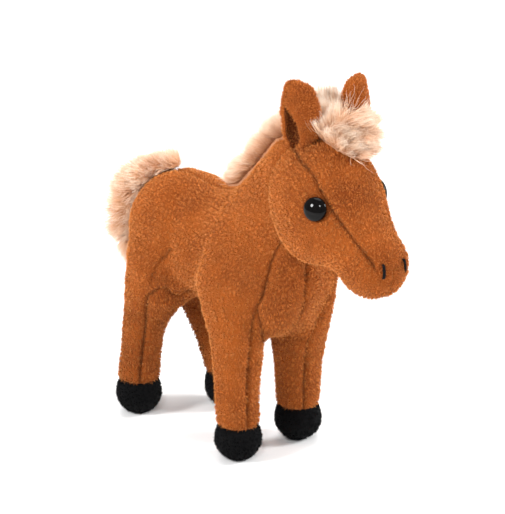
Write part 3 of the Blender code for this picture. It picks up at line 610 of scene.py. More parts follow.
def strand_material(name, dark, light, rough, sheen, sheen_tint, spec=0.2):
    """Fibres. Their map's u is each fibre's tone, with any painted shade the pile sets in it, and v runs from root to
    tip. dark and light are lists of (v, colour).
    """
    m = Nodes(name)
    uv = m.add("ShaderNodeUVMap", uv_map="OFBake")
    split = m.add("ShaderNodeSeparateXYZ")
    m.link(uv.outputs["UV"], split.inputs["Vector"])
    low = m.ramp(split.outputs["Y"], dark, "LINEAR")
    high = m.ramp(split.outputs["Y"], light, "LINEAR")
    m.link(m.mix(split.outputs["X"], low, high), m.shader.inputs["Base Color"])
    m.set(Roughness=rough, Sheen_Weight=sheen, Sheen_Roughness=0.4, Sheen_Tint=sheen_tint)
    m.shader.inputs["Specular IOR Level"].default_value = spec
    return m.material


BROWN_SHEEN = srgb(255, 178, 112)
# The ground cloth is the plush's brown, darkened as painted shade at the bottom of the pile.
plush_ground = pile_ground("plush_ground", srgb(106, 47, 10), srgb(138, 68, 18), BROWN_SHEEN, 0.4)
# Both ramps run from dark roots to light tips: the plush's brown with painted shade deep in the pile.
plush_fibre = strand_material(
    "plush_fibre",
    [(0.0, srgb(42, 15, 3)), (0.5, srgb(75, 28, 6)), (1.0, srgb(112, 48, 12))],
    [(0.0, srgb(164, 80, 22)), (0.5, srgb(202, 110, 44)), (1.0, srgb(228, 144, 76))],
    0.8,
    0.65,
    BROWN_SHEEN,
    0.08,
)
hoof_ground = pile_ground("hoof_ground", srgb(2, 2, 3), srgb(5, 5, 6), srgb(150, 150, 165), 0.0)
hoof_fibre = strand_material(
    "hoof_fibre",
    [(0.0, srgb(2, 2, 3)), (1.0, srgb(7, 7, 8))],
    [(0.0, srgb(2, 2, 3)), (1.0, srgb(8, 8, 9))],
    0.95,
    0.0,
    srgb(150, 150, 165),
    0.03,
)
# The lining is darker than the outer plush: painted shade in the ear's hollow.
lining_ground = pile_ground("lining_ground", srgb(66, 27, 6), srgb(96, 43, 12), BROWN_SHEEN, 0.1)
fur_ground = pile_ground("fur_ground", srgb(190, 122, 76), srgb(216, 158, 116), srgb(255, 225, 195), 0.4)
fur_fibre = strand_material(
    "fur_fibre",
    [(0.0, srgb(196, 122, 72)), (0.35, srgb(220, 158, 112)), (0.7, srgb(236, 190, 154)), (1.0, srgb(246, 220, 195))],
    [(0.0, srgb(220, 154, 102)), (0.35, srgb(240, 193, 152)), (0.7, srgb(252, 224, 196)), (1.0, srgb(255, 246, 234))],
    0.55,
    0.3,
    srgb(255, 235, 215),
    spec=0.35,
)


# ---------------------------------------------------------------- the skin
SURFACE = -0.75  # the ground cloth lies this far under the CAD skin, and the pile fills the rest
GRID = 0.95
P, Q = net_of(lambda p: form(p) - SURFACE, (-36, -127, -4), (38, 60, 154), GRID)
P = onto(P, SURFACE, 3)
P = relax(P, Q, form, SURFACE, 4)
T = triangles(P, Q)
P, T = cut(P, T, seam_head, level=SURFACE)
P, T = cut(P, T, seam_hoof, level=SURFACE)
on_head = lambda p: seam_head(p) < 0.3
on_body = lambda p: (seam_head(p) > -0.3) & (p[:, 2] > HOOF_TOP - 0.3)
P, T = cut(P, T, seam_middle, on_body, SURFACE)
P, T = cut(P, T, seam_side, on_body, SURFACE)
P, T = cut(P, T, seam_chest, lambda p: on_body(p) & (seam_side(p) < 0.3) & (p[:, 1] < -10), SURFACE)
P, T = cut(P, T, seam_gusset, on_head, SURFACE)
P, T = cut(P, T, seam_chin, lambda p: on_head(p) & (seam_gusset(p) > -0.3), SURFACE)
used = np.unique(T)
back = -np.ones(len(P), np.int64)
back[used] = np.arange(len(used))
P, T = P[used], back[T]

PANELS = [
    "head_gusset", "head_side_right", "head_side_left",
    "hoof_front_right", "hoof_front_left", "hoof_hind_right", "hoof_hind_left",
    "body_side_right", "body_side_left", "chest_panel_right", "chest_panel_left", "underbody_right", "underbody_left",
]  # fmt: skip


def owners(c):
    right = c[:, 0] < 0
    front = c[:, 1] < -10
    head = seam_head(c) < 0
    body = np.where(seam_side(c) > 0, 7, np.where(front & (seam_chest(c) > 0), 9, 11)) + np.where(right, 0, 1)
    body = np.where(c[:, 2] < HOOF_TOP, 3 + 2 * (~front) + (~right), body)
    face = np.where(seam_gusset(c) < 0, 0, np.where(seam_chin(c) < 0, 1, 2))
    return np.where(head, face, body)


owner = owners(P[T].mean(1))
E = np.concatenate([T[:, [0, 1]], T[:, [1, 2]], T[:, [2, 0]]])
key = E.min(1).astype(np.int64) * len(P) + E.max(1)
order = np.argsort(key, kind="stable")
same = key[order[:-1]] == key[order[1:]]
face_of = np.tile(np.arange(len(T)), 3)
pairs = np.stack([face_of[order[:-1][same]], face_of[order[1:][same]]], 1)
pair_edge = E[order[:-1][same]]
# A stray face goes to the panel round it.
for _ in range(4):
    alike = owner[pairs[:, 0]] == owner[pairs[:, 1]]
    friends = np.zeros(len(T), int)
    np.add.at(friends, pairs[alike].ravel(), 1)
    lone = (friends == 0)[pairs]
    take = lone[:, 0] & ~alike
    owner[pairs[take, 0]] = owner[pairs[take, 1]]
    take = lone[:, 1] & ~alike & ~take
    owner[pairs[take, 1]] = owner[pairs[take, 0]]
sewn = owner[pairs[:, 0]] != owner[pairs[:, 1]]
seam_points = np.concatenate([P[pair_edge[sewn, 0]], P[pair_edge[sewn, 1]], P[pair_edge[sewn]].mean(1)])
seam_distance, _ = nearest(seam_points, P)
# The pile hides the seam under the chin, at the tip of the nose and under the brisket.
Q3 = to_head(P)
hidden = np.clip((-15.0 - Q3[:, 2]) / 3.5, 0, 1) * np.clip((-36.0 - Q3[:, 1]) / 6, 0, 1)
hidden = np.maximum(hidden, 0.6 * np.clip((-20.0 - Q3[:, 2]) / 4, 0, 1)) * (seam_head(P) < 0)
brisket = np.clip((-30.0 - P[:, 1]) / 5, 0, 1) * np.clip(1.4 - np.abs(P[:, 2] - 52.5) / 8, 0, 1) * np.clip((P[:, 0] + 4) / 4, 0, 1)
hidden = np.maximum(hidden, 0.35 * brisket * (seam_head(P) > 0))
seam_distance = seam_distance + 1.7 * hidden

N = normals_at(P)
sole = np.clip((2.2 - P[:, 2]) / 2.2, 0, 1) * (N[:, 2] < -0.3)


def from_line(p, points):
    """Distance of each point from a line through the given places."""
    points = np.array(points, float)
    best = np.full(len(p), 1e9)
    for a, b in zip(points[:-1], points[1:]):
        t = np.clip((p - a) @ (b - a) / ((b - a) @ (b - a)), 0, 1)
        best = np.minimum(best, np.linalg.norm(p - a - t[:, None] * (b - a), axis=1))
    return best


def creases(p):
    """Soft hollows and folds that the filling leaves in the cloth, in millimetres of depth."""
    out = np.zeros(len(p))
    for points, width, depth in CREASES:
        out += depth * np.exp(-((from_line(p, points) / width) ** 2))
    return out


# a dart in the right flank, which carries on the hind leg's seam
DART = [(-26.2, 14.4, 67.5), (-26.0, 13.1, 71.0), (-24.8, 11.8, 76.0), (-23.6, 9.8, 80.0), (-23.3, 6.9, 84.4)]


CREASES = [
    # flank to stifle, down the front of the hind leg, each side
    (DART, 1.2, 1.5),
    ([(-23.3, 6.9, 83.5), (-22.2, 5.5, 91.3), (-19.2, 7.7, 98.9), (-13.0, 10.0, 106.0)], 4.0, 1.0),
    ([(-23.3, 6.9, 84.0), (-24.2, 9.0, 77.0), (-22.5, 5.5, 70.0), (-19.0, 0.0, 65.0)], 3.0, 2.0),
    ([(23.3, 6.9, 84.0), (24.2, 9.0, 77.0), (22.5, 5.5, 70.0), (19.0, 0.0, 65.0)], 3.0, 1.2),
    ([(22.5, 9.0, 92.0), (22.0, 14.0, 82.0), (19.5, 20.0, 70.0)], 3.4, 0.9),
    # behind the elbow
    ([(-24.0, -12.0, 84.0), (-22.5, -15.0, 72.0), (-19.0, -18.0, 61.0)], 3.6, 0.8),
    ([(24.0, -12.0, 84.0), (22.5, -15.0, 72.0), (19.0, -18.0, 61.0)], 3.6, 0.8),
    # withers to shoulder
    ([(-12.0, -18.0, 110.0), (-20.0, -16.0, 98.0), (-24.0, -13.0, 86.0)], 4.2, 0.7),
    ([(12.0, -18.0, 110.0), (20.0, -16.0, 98.0), (24.0, -13.0, 86.0)], 4.2, 0.7),
]
lumps = 0.34 * noise(P, 15.0, 1.0) + 0.16 * noise(P, 6.5, 2.0)
wobble = 1 + 0.25 * noise(P, 3.1, 3.0)
valley = 1.35 * np.exp(-((seam_distance / 0.95) ** 2)) * wobble + 0.42 * np.exp(-((seam_distance / 3.6) ** 2))
calm = np.exp(-((seam_distance / 3.0) ** 2))
pucker = 0.16 * noise(P, 2.3, 4.0) * np.exp(-((seam_distance / 4.0) ** 2))
folds = creases(P)
folds = np.minimum(folds, 1.2) + 0.9 * (1 - np.exp(-np.maximum(folds - 1.2, 0) / 0.9))
away = (1 - sole) * np.minimum(valley - lumps * (1 - calm) + folds - pucker, 2.4)
S = P - N * away[:, None]
S[:, 2] = np.maximum(S[:, 2], 0.35 + 0.0 * S[:, 2])
SN = vertex_normals(S, T)
THICK = 1.0
inner = S - N * THICK

panel_objects = {}
for k, name in enumerate(PANELS):
    mine = T[owner == k]
    used, local = np.unique(mine, return_inverse=True)
    local = local.reshape(-1, 3)
    e = np.concatenate([local[:, [0, 1]], local[:, [1, 2]], local[:, [2, 0]]])
    keys = e.min(1).astype(np.int64) * len(used) + e.max(1)
    _, first, count = np.unique(keys, return_index=True, return_counts=True)
    rim = e[first[count == 1]]
    n = len(used)
    walls = np.concatenate([
        np.stack([rim[:, 1], rim[:, 0], rim[:, 0] + n], 1),
        np.stack([rim[:, 1], rim[:, 0] + n, rim[:, 1] + n], 1),
    ])  # fmt: skip
    faces = np.concatenate([local, local[:, ::-1] + n, walls])
    ground = hoof_ground if name.startswith("hoof") else plush_ground
    obj = make_object(name + "_cloth", np.concatenate([S[used], inner[used]]), faces, ground)
    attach(obj, "horse")
    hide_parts(name)
    panel_objects[name] = obj


# ---------------------------------------------------------------- short pile
def sample(P, T, per_mm2, rng, keep=None):
    """Random places on the triangles: the triangle each is on, and its weights at the triangle's corners."""
    area = np.linalg.norm(face_normals(P, T), axis=1) / 2
    count = rng.poisson(area * per_mm2)
    which = np.repeat(np.arange(len(T)), count)
    a, b = rng.random(len(which)), rng.random(len(which))
    over = a + b > 1
    a[over], b[over] = 1 - a[over], 1 - b[over]
    w = np.stack([1 - a - b, a, b], 1)
    return which, w


def tufts(p, size):
    """For each point the middle of the tuft it stands in, how far it is from the tuft's edge, and two numbers of the tuft's own."""
    cell = np.floor(p / size)
    first, second = np.full(len(p), 1e9), np.full(len(p), 1e9)
    middle, tone, tall = p.copy(), np.zeros(len(p)), np.zeros(len(p))
    for i in (-1, 0, 1):
        for j in (-1, 0, 1):
            for k in (-1, 0, 1):
                c = cell + np.array([i, j, k], float)
                at = (c + 0.5 + 0.85 * (np.stack([hash3(c, q) for q in (11.0, 12.0, 13.0)], 1) - 0.5)) * size
                far = np.linalg.norm(p - at, axis=1)
                best = far < first
                second = np.where(best, first, np.minimum(second, far))
                first = np.where(best, far, first)
                middle[best] = at[best]
                tone[best] = hash3(c[best], 14.0)
                tall[best] = hash3(c[best], 15.0)
    return middle, second - first, tone, tall


def pile(name, roots, normals, flow, rng, length, width, lean, material, painted_shade_distance, tone_shift=0.0, tuft=1.7, floor=None, contrast=1.0):
    """Fibres as thin closed spikes whose tips gather into tufts, with painted shade in the partings between the tufts
    and along seams, creases and eye rims.
    """
    n = len(roots)
    tangent = unit(flow - (flow * normals).sum(1)[:, None] * normals + 1e-6)
    side = np.cross(normals, tangent)
    # The tufts are longer along the nap than across it.
    middle, edge, tone, tall = tufts(roots * np.array([1.0, 1.0, 0.72]) + 0.35 * np.stack([noise(roots, 2.4, q) for q in (21.0, 22.0, 23.0)], 1), tuft)
    inside = np.clip(edge / (0.42 * tuft), 0, 1)
    inside = inside * inside * (3 - 2 * inside)
    turn = rng.normal(0, 0.55, n) + 0.9 * noise(roots, 5.0, 7.0) + 1.1 * (tone - 0.5)
    heading = np.cos(turn)[:, None] * tangent + np.sin(turn)[:, None] * side
    tilt = np.clip(lean + rng.normal(0, 0.14, n) + 0.18 * noise(roots, 3.2, 8.0) + 0.3 * (tall - 0.5), 0.03, 1.3)
    way = np.cos(tilt)[:, None] * normals + np.sin(tilt)[:, None] * heading
    long = length * (0.76 + 0.24 * inside + 0.10 * rng.normal(0, 1, n) + 0.16 * (tall - 0.5) + 0.12 * noise(roots, 5.0, 9.0))
    long = np.clip(long, 0.3 * length, 1.5 * length)
    tips = roots + way * long[:, None]
    pull = middle / np.array([1.0, 1.0, 0.72]) - roots
    pull -= (pull * normals).sum(1)[:, None] * normals
    tips += 0.5 * np.clip(1.3 - 0.6 * inside, 0, 1)[:, None] * pull
    if floor is not None:
        tips[:, 2] = np.maximum(tips[:, 2], floor)
    w = width * (1 + 0.2 * rng.normal(0, 1, n)).clip(0.5, 1.6)
    start = rng.random(n) * 2 * math.pi
    base = []
    for k in range(3):
        a = start + k * 2 * math.pi / 3
        base.append(roots - 0.12 * normals + (np.cos(a) * w)[:, None] * tangent + (np.sin(a) * w)[:, None] * side)
    points = np.stack([*base, tips], 1).reshape(-1, 3)
    if floor is not None:
        points[:, 2] = np.maximum(points[:, 2], floor)
    i = np.arange(n)[:, None] * 4
    faces = (i[:, None, :] + np.array([[0, 2, 1], [0, 1, 3], [1, 2, 3], [2, 0, 3]])[None]).reshape(-1, 3)
    # Each fibre's tone: its tuft's own and random, with painted shade in the partings between tufts.
    shade = 0.84 + 0.04 * rng.normal(0, 1, n) + contrast * (0.20 * (tone - 0.5) - 0.17 * (1 - inside)) + 0.07 * noise(roots, 2.6, 31.0) + 0.08 * noise(roots, 8.0, 11.0)
    # Painted shade in the seam grooves: fibres darken close to the seams and the other lines the caller gives.
    ragged = np.clip(0.62 + 0.40 * noise(roots, 1.8, 12.0), 0.2, 1.2)
    shade = np.clip(np.clip(shade, 0.36, 0.98) + tone_shift - 0.95 * np.exp(-((painted_shade_distance / ragged) ** 2)), 0.01, 0.98)
    uv = np.zeros((n, 4, 3, 2))
    d = 0.008
    for f, corners in enumerate([(0, 0, 0), (0, 0, 1), (0, 0, 1), (0, 0, 1)]):
        for c, v in enumerate(corners):
            uv[:, f, c, 0] = shade + (d if c == 1 else 0.0)
            uv[:, f, c, 1] = 0.99 if v else (0.01 if f else 0.01 + 0.01 * c)
    obj = make_object(name, points, faces, material, uv.reshape(-1, 2), smooth=True)
    return obj


def nap(p, n):
    """The way the pile lies: back along the body and head, down the legs."""
    out = np.tile([0.0, 0.55, -0.85], (len(p), 1))
    legs = np.clip((62 - p[:, 2]) / 12, 0, 1)[:, None]
    out = out * (1 - legs) + np.array([0.0, 0.1, -1.0]) * legs
    head = (seam_head(p) < 0)[:, None]
    return np.where(head, np.array([0.0, 0.8, 0.35]), out)


DENSITY = 3.7
for k, name in enumerate(PANELS):
    rng = np.random.default_rng(100 + k)
    mine = T[owner == k]
    which, w = sample(S, mine, DENSITY, rng)
    tri = mine[which]
    roots = (S[tri] * w[:, :, None]).sum(1)
    normals = unit((SN[tri] * w[:, :, None]).sum(1))
    smooth_n = unit((N[tri] * w[:, :, None]).sum(1))
    normals = unit(0.4 * normals + 0.6 * smooth_n)
    gap = (seam_distance[tri] * w).sum(1)
    # Painted shade along the dart's crease, like the seams'.
    gap = np.minimum(gap, 0.1 + np.maximum(from_line((P[tri] * w[:, :, None]).sum(1), DART) - 0.6, 0))
    is_hoof = name.startswith("hoof")
    # Painted shade: behind the forelegs the pile darkens below about 53 mm, down the hind legs.
    shade = -0.24 * np.clip((53 - roots[:, 2]) / 5, 0, 1) * (roots[:, 1] > -5)
    keep = gap > 0.25
    # None under an eye's flange.
    for at in EYE_AT.values():
        seat = onto(from_head(at), rounds=10)[0]
        rim = np.linalg.norm(roots - seat, axis=1) - EYE_D / 2
        keep &= rim > -0.3
        # Painted shadow in a ring round each eye: the fibres there darken.
        gap = np.where(rim < 3, np.minimum(gap, 0.15 + 0.8 * np.maximum(rim, 0)), gap)
    if is_hoof:
        keep &= roots[:, 2] > 0.5
    roots, normals, gap, shade = roots[keep], normals[keep], gap[keep], shade[keep]
    obj = pile(
        name + "_pile",
        roots,
        normals,
        nap(roots, normals),
        rng,
        0.85 if is_hoof else 1.3,
        0.11 if is_hoof else 0.15,
        0.50,
        hoof_fibre if is_hoof else plush_fibre,
        gap,
        # The shift darkens the lower hind legs as painted shade.
        tone_shift=0.0 if is_hoof else shade,
        tuft=1.3 if is_hoof else 1.8,
        floor=0.05 if is_hoof else None,
    )
    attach(obj, "horse")


# ---------------------------------------------------------------- ears
def rotation(degrees, axis):
    return np.array(Matrix.Rotation(math.radians(degrees), 3, axis))


def ear_grid(sx, columns=64, rows=56):
    """(s, t) round and up the ear, with the pole last, and its triangles."""
    t = np.concatenate([np.linspace(-0.07, 0.80, rows - 18), 0.80 + 0.20 * np.sin(np.linspace(0, 1, 19)[1:-1] * math.pi / 2) ** 0.9])
    s = np.sin(np.linspace(-math.pi / 2, math.pi / 2, columns))
    rows = len(t)
    s, t = np.meshgrid(s, t)
    q = np.arange(rows * columns).reshape(rows, columns)
    quads = np.stack([q[:-1, :-1], q[:-1, 1:], q[1:, 1:], q[1:, :-1]], -1).reshape(-1, 4)
    pole = rows * columns
    cap = np.stack([q[-1, :-1], q[-1, 1:], np.full(columns - 1, pole)], -1)
    tri = np.concatenate([quads[:, [0, 1, 2]], quads[:, [0, 2, 3]], cap])
    return np.append(s.ravel(), 0.0), np.append(t.ravel(), 1.0), tri


def two_sided(near, far, T):
    """A closed body between two copies of a sheet of triangles. The far copy keeps their winding."""
    n = len(near)
    e = np.concatenate([T[:, [0, 1]], T[:, [1, 2]], T[:, [2, 0]]])
    keys = e.min(1).astype(np.int64) * n + e.max(1)
    _, first, count = np.unique(keys, return_index=True, return_counts=True)
    rim = e[first[count == 1]]
    a, b = rim[:, 0], rim[:, 1]
    walls = np.concatenate([np.stack([b, a, a + n], 1), np.stack([b, a + n, b + n], 1)])
    return np.concatenate([far, near]), np.concatenate([T, T[:, ::-1] + n, walls])


for hand in ("right", "left"):
    sx = -1 if hand == "right" else 1
    s, t, tri = ear_grid(sx)
    turn = rotation(EAR_LEAN[hand] * sx, "Y") @ rotation(HEAD_YAW + sx * EAR_TURN[hand], "Z")
    base = onto(from_head(EAR_ROOT[hand]), rounds=10)[0]

    def sheet(offset):
        return ear_point(s, t, offset, sx) @ turn.T + base

    middle = sheet(0.0)
    lifted = middle.copy()
    want = np.interp(t, [-0.07, 0.0, 0.1, 0.2], [-1.6, 0.2, 1.6, 2.4])
    for _ in range(6):
        lifted = lifted + np.maximum(want - form(lifted), 0)[:, None] * normals_at(lifted)
    lift = lifted - middle + 0.22 * np.stack([noise(middle, 4.5, 20.0), noise(middle, 4.5, 21.0), noise(middle, 4.5, 22.0)], 1)
    if (vertex_normals(sheet(1.0), tri) * (sheet(1.0) - sheet(0.5))).sum() < 0:
        tri = tri[:, ::-1]
    # Full in the middle of the cloth, rolled round to the seam at its edge.
    edge = np.sqrt(np.clip(1 - np.abs(s) ** 9, 0, 1))
    edge[-1] = 1.0
    bulge = 0.12 * noise(middle, 2.6, 30.0)
    for layer, sign, thick in (("ear_back", 1, 1.15), ("ear_lining", -1, 1.0)):
        near = sheet(sign * 0.06) + lift
        far = sheet(sign * (0.2 + (thick + bulge) * edge)) + lift
        T2 = tri if sign > 0 else tri[:, ::-1]
        points, faces = two_sided(near, far, T2)
        cloth = make_object(f"{layer}_{hand}_cloth", points, faces, plush_ground if sign > 0 else lining_ground)
        normal = vertex_normals(far, T2)
        rng = np.random.default_rng(300 + sign + (10 if hand == "left" else 0))
        which, w = sample(far, T2, DENSITY * 1.15, rng)
        corner = T2[which]
        roots = (far[corner] * w[:, :, None]).sum(1)
        normals = unit((normal[corner] * w[:, :, None]).sum(1))
        keep = form(roots) > -0.2
        roots, normals = roots[keep], normals[keep]
        hair = pile(
            f"{layer}_{hand}_pile",
            roots,
            normals,
            np.tile([0.0, 0.1, 1.0], (len(roots), 1)),
            rng,
            1.1 if sign > 0 else 0.8,
            0.14,
            0.55,
            plush_fibre,
            np.full(len(roots), 9.0),
            # The lining's fibres are darkened as painted shade in the hollow.
            tone_shift=0.0 if sign > 0 else -0.30,
            tuft=1.2,
        )
        for obj in (cloth, hair):
            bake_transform(obj)
        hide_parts(f"{layer}_{hand}")


# ---------------------------------------------------------------- long pile
def strands(name, roots, first, later, length, rng, thick=0.085, steps=6, clump=4.2, pull=0.5, stray=0.55, clear=0.5, material=fur_fibre, tone=None, lock=0.30):
    """Hairs as tapered three-sided tubes. Each sets off along `first`, turns towards `later`, and leans into its lock."""
    n = len(roots)
    shifted = roots + 1.2 * np.stack([noise(roots, 3.0, 44.0), noise(roots, 3.0, 45.0), noise(roots, 3.0, 46.0)], 1)
    cell = np.floor(shifted / clump)
    own = np.stack([hash3(cell, q) for q in (51.0, 52.0, 53.0)], 1) - 0.5
    loose = rng.random(n) < 0.07
    length = length * (0.82 + 0.36 * hash3(cell, 54.0)) * np.where(loose, 1.18, 1.0)
    first, later = unit(first) + lock * own, unit(later) + 1.3 * lock * own
    step = length / steps
    at, heading = roots.copy(), unit(first + np.where(loose, 0.35, 0.0)[:, None] * rng.normal(0, 1, (n, 3)))
    paths = [at]
    wave = rng.normal(0, 1, (n, 3))
    for j in range(steps):
        t = (j + 1) / steps
        bend = np.stack([noise(at, 7.0, 40.0), noise(at, 7.0, 41.0), noise(at, 7.0, 42.0)], 1)
        heading = unit(heading + (0.32 * t) * (later - heading) + 0.26 * bend + stray * 0.22 * wave)
        if j % 2:
            wave = rng.normal(0, 1, (n, 3))
        at = at + heading * step[:, None]
        short = clear - form(at)
        push = short > 0
        if push.any():
            q = at[push]
            at[push] = q + short[push][:, None] * normals_at(q)
        paths.append(at)
    paths = np.stack(paths, 1)  # n, steps + 1, 3
    # locks
    code = cell @ np.array([1.0, 1013.0, 1026169.0])
    _, group = np.unique(code, return_inverse=True)
    group = group.reshape(-1)
    size = np.bincount(group)
    mean = np.zeros((len(size), steps + 1, 3))
    np.add.at(mean, group, paths)
    mean /= size[:, None, None]
    tt = np.linspace(0, 1, steps + 1)
    lean = (pull * tt**1.1)[None, :, None] * (np.where(loose, 0.1, 0.75) + 0.5 * rng.random(n))[:, None, None]
    paths = paths + lean * (mean[group] - paths)
    # tubes
    run = unit(np.gradient(paths, axis=1))
    side = unit(np.cross(run, np.tile([0.31, 0.52, 0.79], (n, 1))[:, None, :]))
    up = np.cross(run, side)
    w = thick * (0.75 + 0.5 * rng.random(n))
    taper = np.interp(tt, [0, 0.15, 0.6, 1.0], [0.8, 1.0, 0.75, 0.12])
    rings = []
    for k in range(3):
        a = 2 * math.pi * k / 3
        rings.append(paths[:, :-1] + (w[:, None] * taper[None, :-1])[..., None] * (math.cos(a) * side[:, :-1] + math.sin(a) * up[:, :-1]))
    rings = np.stack(rings, 2)  # n, steps, 3, 3
    points = np.concatenate([rings.reshape(n, steps * 3, 3), paths[:, -1:]], 1)
    per = steps * 3 + 1
    faces, uvs = [], []
    for j in range(steps - 1):
        for k in range(3):
            a, b = j * 3 + k, j * 3 + (k + 1) % 3
            c, d = a + 3, b + 3
            faces += [(a, b, d), (a, d, c)]
            va, vc = tt[j], tt[j + 1]
            uvs += [((0, va), (1, va), (1, vc)), ((0, va), (1, vc), (0, vc))]
    for k in range(3):
        a, b = (steps - 1) * 3 + k, (steps - 1) * 3 + (k + 1) % 3
        faces.append((a, b, steps * 3))
        uvs.append(((0, tt[-2]), (1, tt[-2]), (0.5, 1.0)))
    faces.append((2, 1, 0))
    uvs.append(((0, 0), (1, 0), (0.5, 0.02)))
    faces, uvs = np.array(faces), np.array(uvs, float)
    all_faces = (np.arange(n)[:, None, None] * per + faces[None]).reshape(-1, 3)
    shade = 0.55 + 0.18 * rng.normal(0, 1, n) + 0.2 * noise(roots, clump, 43.0) + 0.5 * (hash3(cell, 5.0) - 0.5)
    if tone is not None:
        shade = shade + tone
    shade = np.clip(shade, 0.02, 0.97)
    uv = np.empty((n, len(faces), 3, 2))
    uv[..., 0] = shade[:, None, None] + 0.01 * uvs[None, :, :, 0]
    uv[..., 1] = np.clip(uvs[None, :, :, 1], 0.01, 0.99)
    return make_object(name, points.reshape(-1, 3), all_faces, material, uv.reshape(-1, 2))


def over_skin(points, lift):
    """The points brought to the given height above the skin."""
    p = np.array(points, float)
    return onto(onto(p, rounds=4), np.array(lift, float), 6)


def core(name, line, sizes, segments=28, rings=26, clear=-0.6):
    """A closed cloth core along a line, with (half width, half height) at each of its points."""
    line, sizes = np.array(line, float), np.array(sizes, float)
    arc = np.concatenate([[0], np.cumsum(np.linalg.norm(np.diff(line, axis=0), axis=1))])
    arc /= arc[-1]
    t = np.linspace(0, 1, rings)
    t = 0.5 - 0.5 * np.cos(math.pi * t)
    at = np.stack([np.interp(t, arc, line[:, i]) for i in range(3)], 1)
    run = unit(np.gradient(at, axis=0))
    across = np.tile([1.0, 0.0, 0.0], (rings, 1))
    across = unit(across - (across * run).sum(1)[:, None] * run)
    up = np.cross(across, run)
    end = np.sqrt(np.clip(1 - (2 * t - 1) ** 6, 0, 1))
    wide, high = np.interp(t, arc, sizes[:, 0]) * end, np.interp(t, arc, sizes[:, 1]) * end
    a = np.arange(segments) * 2 * math.pi / segments
    ring = at[1:-1, None] + across[1:-1, None] * (wide[1:-1, None] * np.cos(a))[..., None] + up[1:-1, None] * (high[1:-1, None] * np.sin(a))[..., None]
    p = np.concatenate([ring.reshape(-1, 3), at[:1], at[-1:]])
    for _ in range(8):
        p = p + np.maximum(clear - form(p), 0)[:, None] * normals_at(p)
    m = rings - 2
    faces = []
    for j in range(m - 1):
        for k in range(segments):
            b = (k + 1) % segments
            i0, i1, i2, i3 = j * segments + k, j * segments + b, (j + 1) * segments + b, (j + 1) * segments + k
            faces += [(i0, i1, i2), (i0, i2, i3)]
    for k in range(segments):
        b = (k + 1) % segments
        faces += [(m * segments, b, k), (m * segments + 1, (m - 1) * segments + k, (m - 1) * segments + b)]
    F = np.array(faces)
    volume = (p[F[:, 0]] * np.cross(p[F[:, 1]], p[F[:, 2]])).sum()
    if volume < 0:
        F = F[:, ::-1]
    p = p + 0.25 * noise(p, 2.0, 50.0)[:, None] * vertex_normals(p, F)
    return make_object(name, p, F, fur_ground), p, F


HAIRS = 1.0

# mane: a strip along the crest
mane_line = over_skin([(0, -7, 111), (-0.4, -16, 118), (-1.0, -27, 134), (-1.6, -38, 150), (-2.2, -49, 158), (-2.4, -57, 158)], [0.6] * 6)
obj, p, F = core("mane_strip", mane_line, [(1.5, 0.8), (3.2, 1.6), (4.0, 2.0), (4.4, 2.2), (4.4, 2.2), (3.0, 1.5)])
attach(obj, "horse")
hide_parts("mane")
rng = np.random.default_rng(501)
which, w = sample(p, F, 15.0 * HAIRS, rng)
roots = (p[F[which]] * w[:, :, None]).sum(1)
normals = unit((vertex_normals(p, F)[F[which]] * w[:, :, None]).sum(1))
skin_n = normals_at(roots)
keep = (normals * skin_n).sum(1) > -0.1
roots, normals, skin_n = roots[keep], normals[keep], skin_n[keep]
n = len(roots)
along = unit(np.array([0.0, -0.45, 0.9]))
first = unit(0.55 * normals + 0.75 * skin_n + 0.22 * rng.normal(0, 1, (n, 3)))
later = unit(0.6 * skin_n + np.array([0.0, 0.35, -0.28]) + 0.3 * normals)
where = np.clip((roots[:, 1] + 57) / 50, 0, 1)  # 0 at the poll, 1 at the withers
length = np.interp(where, [0, 0.2, 0.75, 1.0], [11.5, 11.0, 9.5, 5.0]) * (0.7 + 0.45 * rng.random(n))
obj = strands("mane_hair", roots, first, later, length, rng)
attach(obj, "horse")

# forelock: on the top of the skull, between the ears and over the brow
fore_line = over_skin(from_head([(3.6, 10, 28), (4.4, 2, 30), (5.6, -6, 29), (6.8, -13, 25.5), (7.6, -18, 21.5)]), [0.8] * 5)
obj, p, F = core("forelock_patch", fore_line, [(3.2, 1.8), (5.5, 3.0), (7.0, 3.2), (6.5, 2.6), (3.5, 1.6)])
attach(obj, "horse")
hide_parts("forelock")
middle = to_head(fore_line).mean(0)
for part, seed in (("a", 502), ("b", 505)):
    rng = np.random.default_rng(seed)
    which, w = sample(p, F, 11.0 * HAIRS, rng)
    roots = (p[F[which]] * w[:, :, None]).sum(1)
    normals = unit((vertex_normals(p, F)[F[which]] * w[:, :, None]).sum(1))
    skin_n = normals_at(roots)
    keep = (normals * skin_n).sum(1) > -0.2
    roots, normals, skin_n = roots[keep], normals[keep], skin_n[keep]
    n = len(roots)
    q = to_head(roots) - middle
    forward = np.clip((3 - q[:, 1]) / 14, 0, 1)[:, None]
    radial = unit(np.stack([q[:, 0], q[:, 1] * 0.7, np.zeros(n)], 1) + 0.25 * rng.normal(0, 1, (n, 3)) * np.array([1.0, 1.0, 0.0]))
    left = np.clip((1.0 - q[:, 0]) / 6, 0, 1)[:, None]  # the hair by the right ear stands up and keeps off it
    first = unit(1.0 * skin_n + 0.4 * normals + 0.5 * radial + left * np.array([0.5, -0.2, 0.4]) + 0.3 * rng.normal(0, 1, (n, 3)))
    later = unit(0.5 * skin_n + 0.8 * radial + forward * np.array([-0.1, -0.2, -0.95]) + (1 - forward) * np.array([0.25, 0.0, 0.9]) + left * np.array([0.5, -0.2, 0.3]))
    length = np.interp(forward[:, 0], [0, 0.5, 1], [21.5, 16.0, 13.5]) * (0.7 + 0.45 * rng.random(n)) * (1 - 0.42 * left[:, 0]) * (1 - 0.28 * np.clip((q[:, 0] - 1.5) / 4, 0, 1))
    obj = strands("forelock_hair_" + part, roots, first, later, length, rng, clump=3.6, lock=0.42, pull=0.66, thick=0.1)
    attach(obj, "horse")

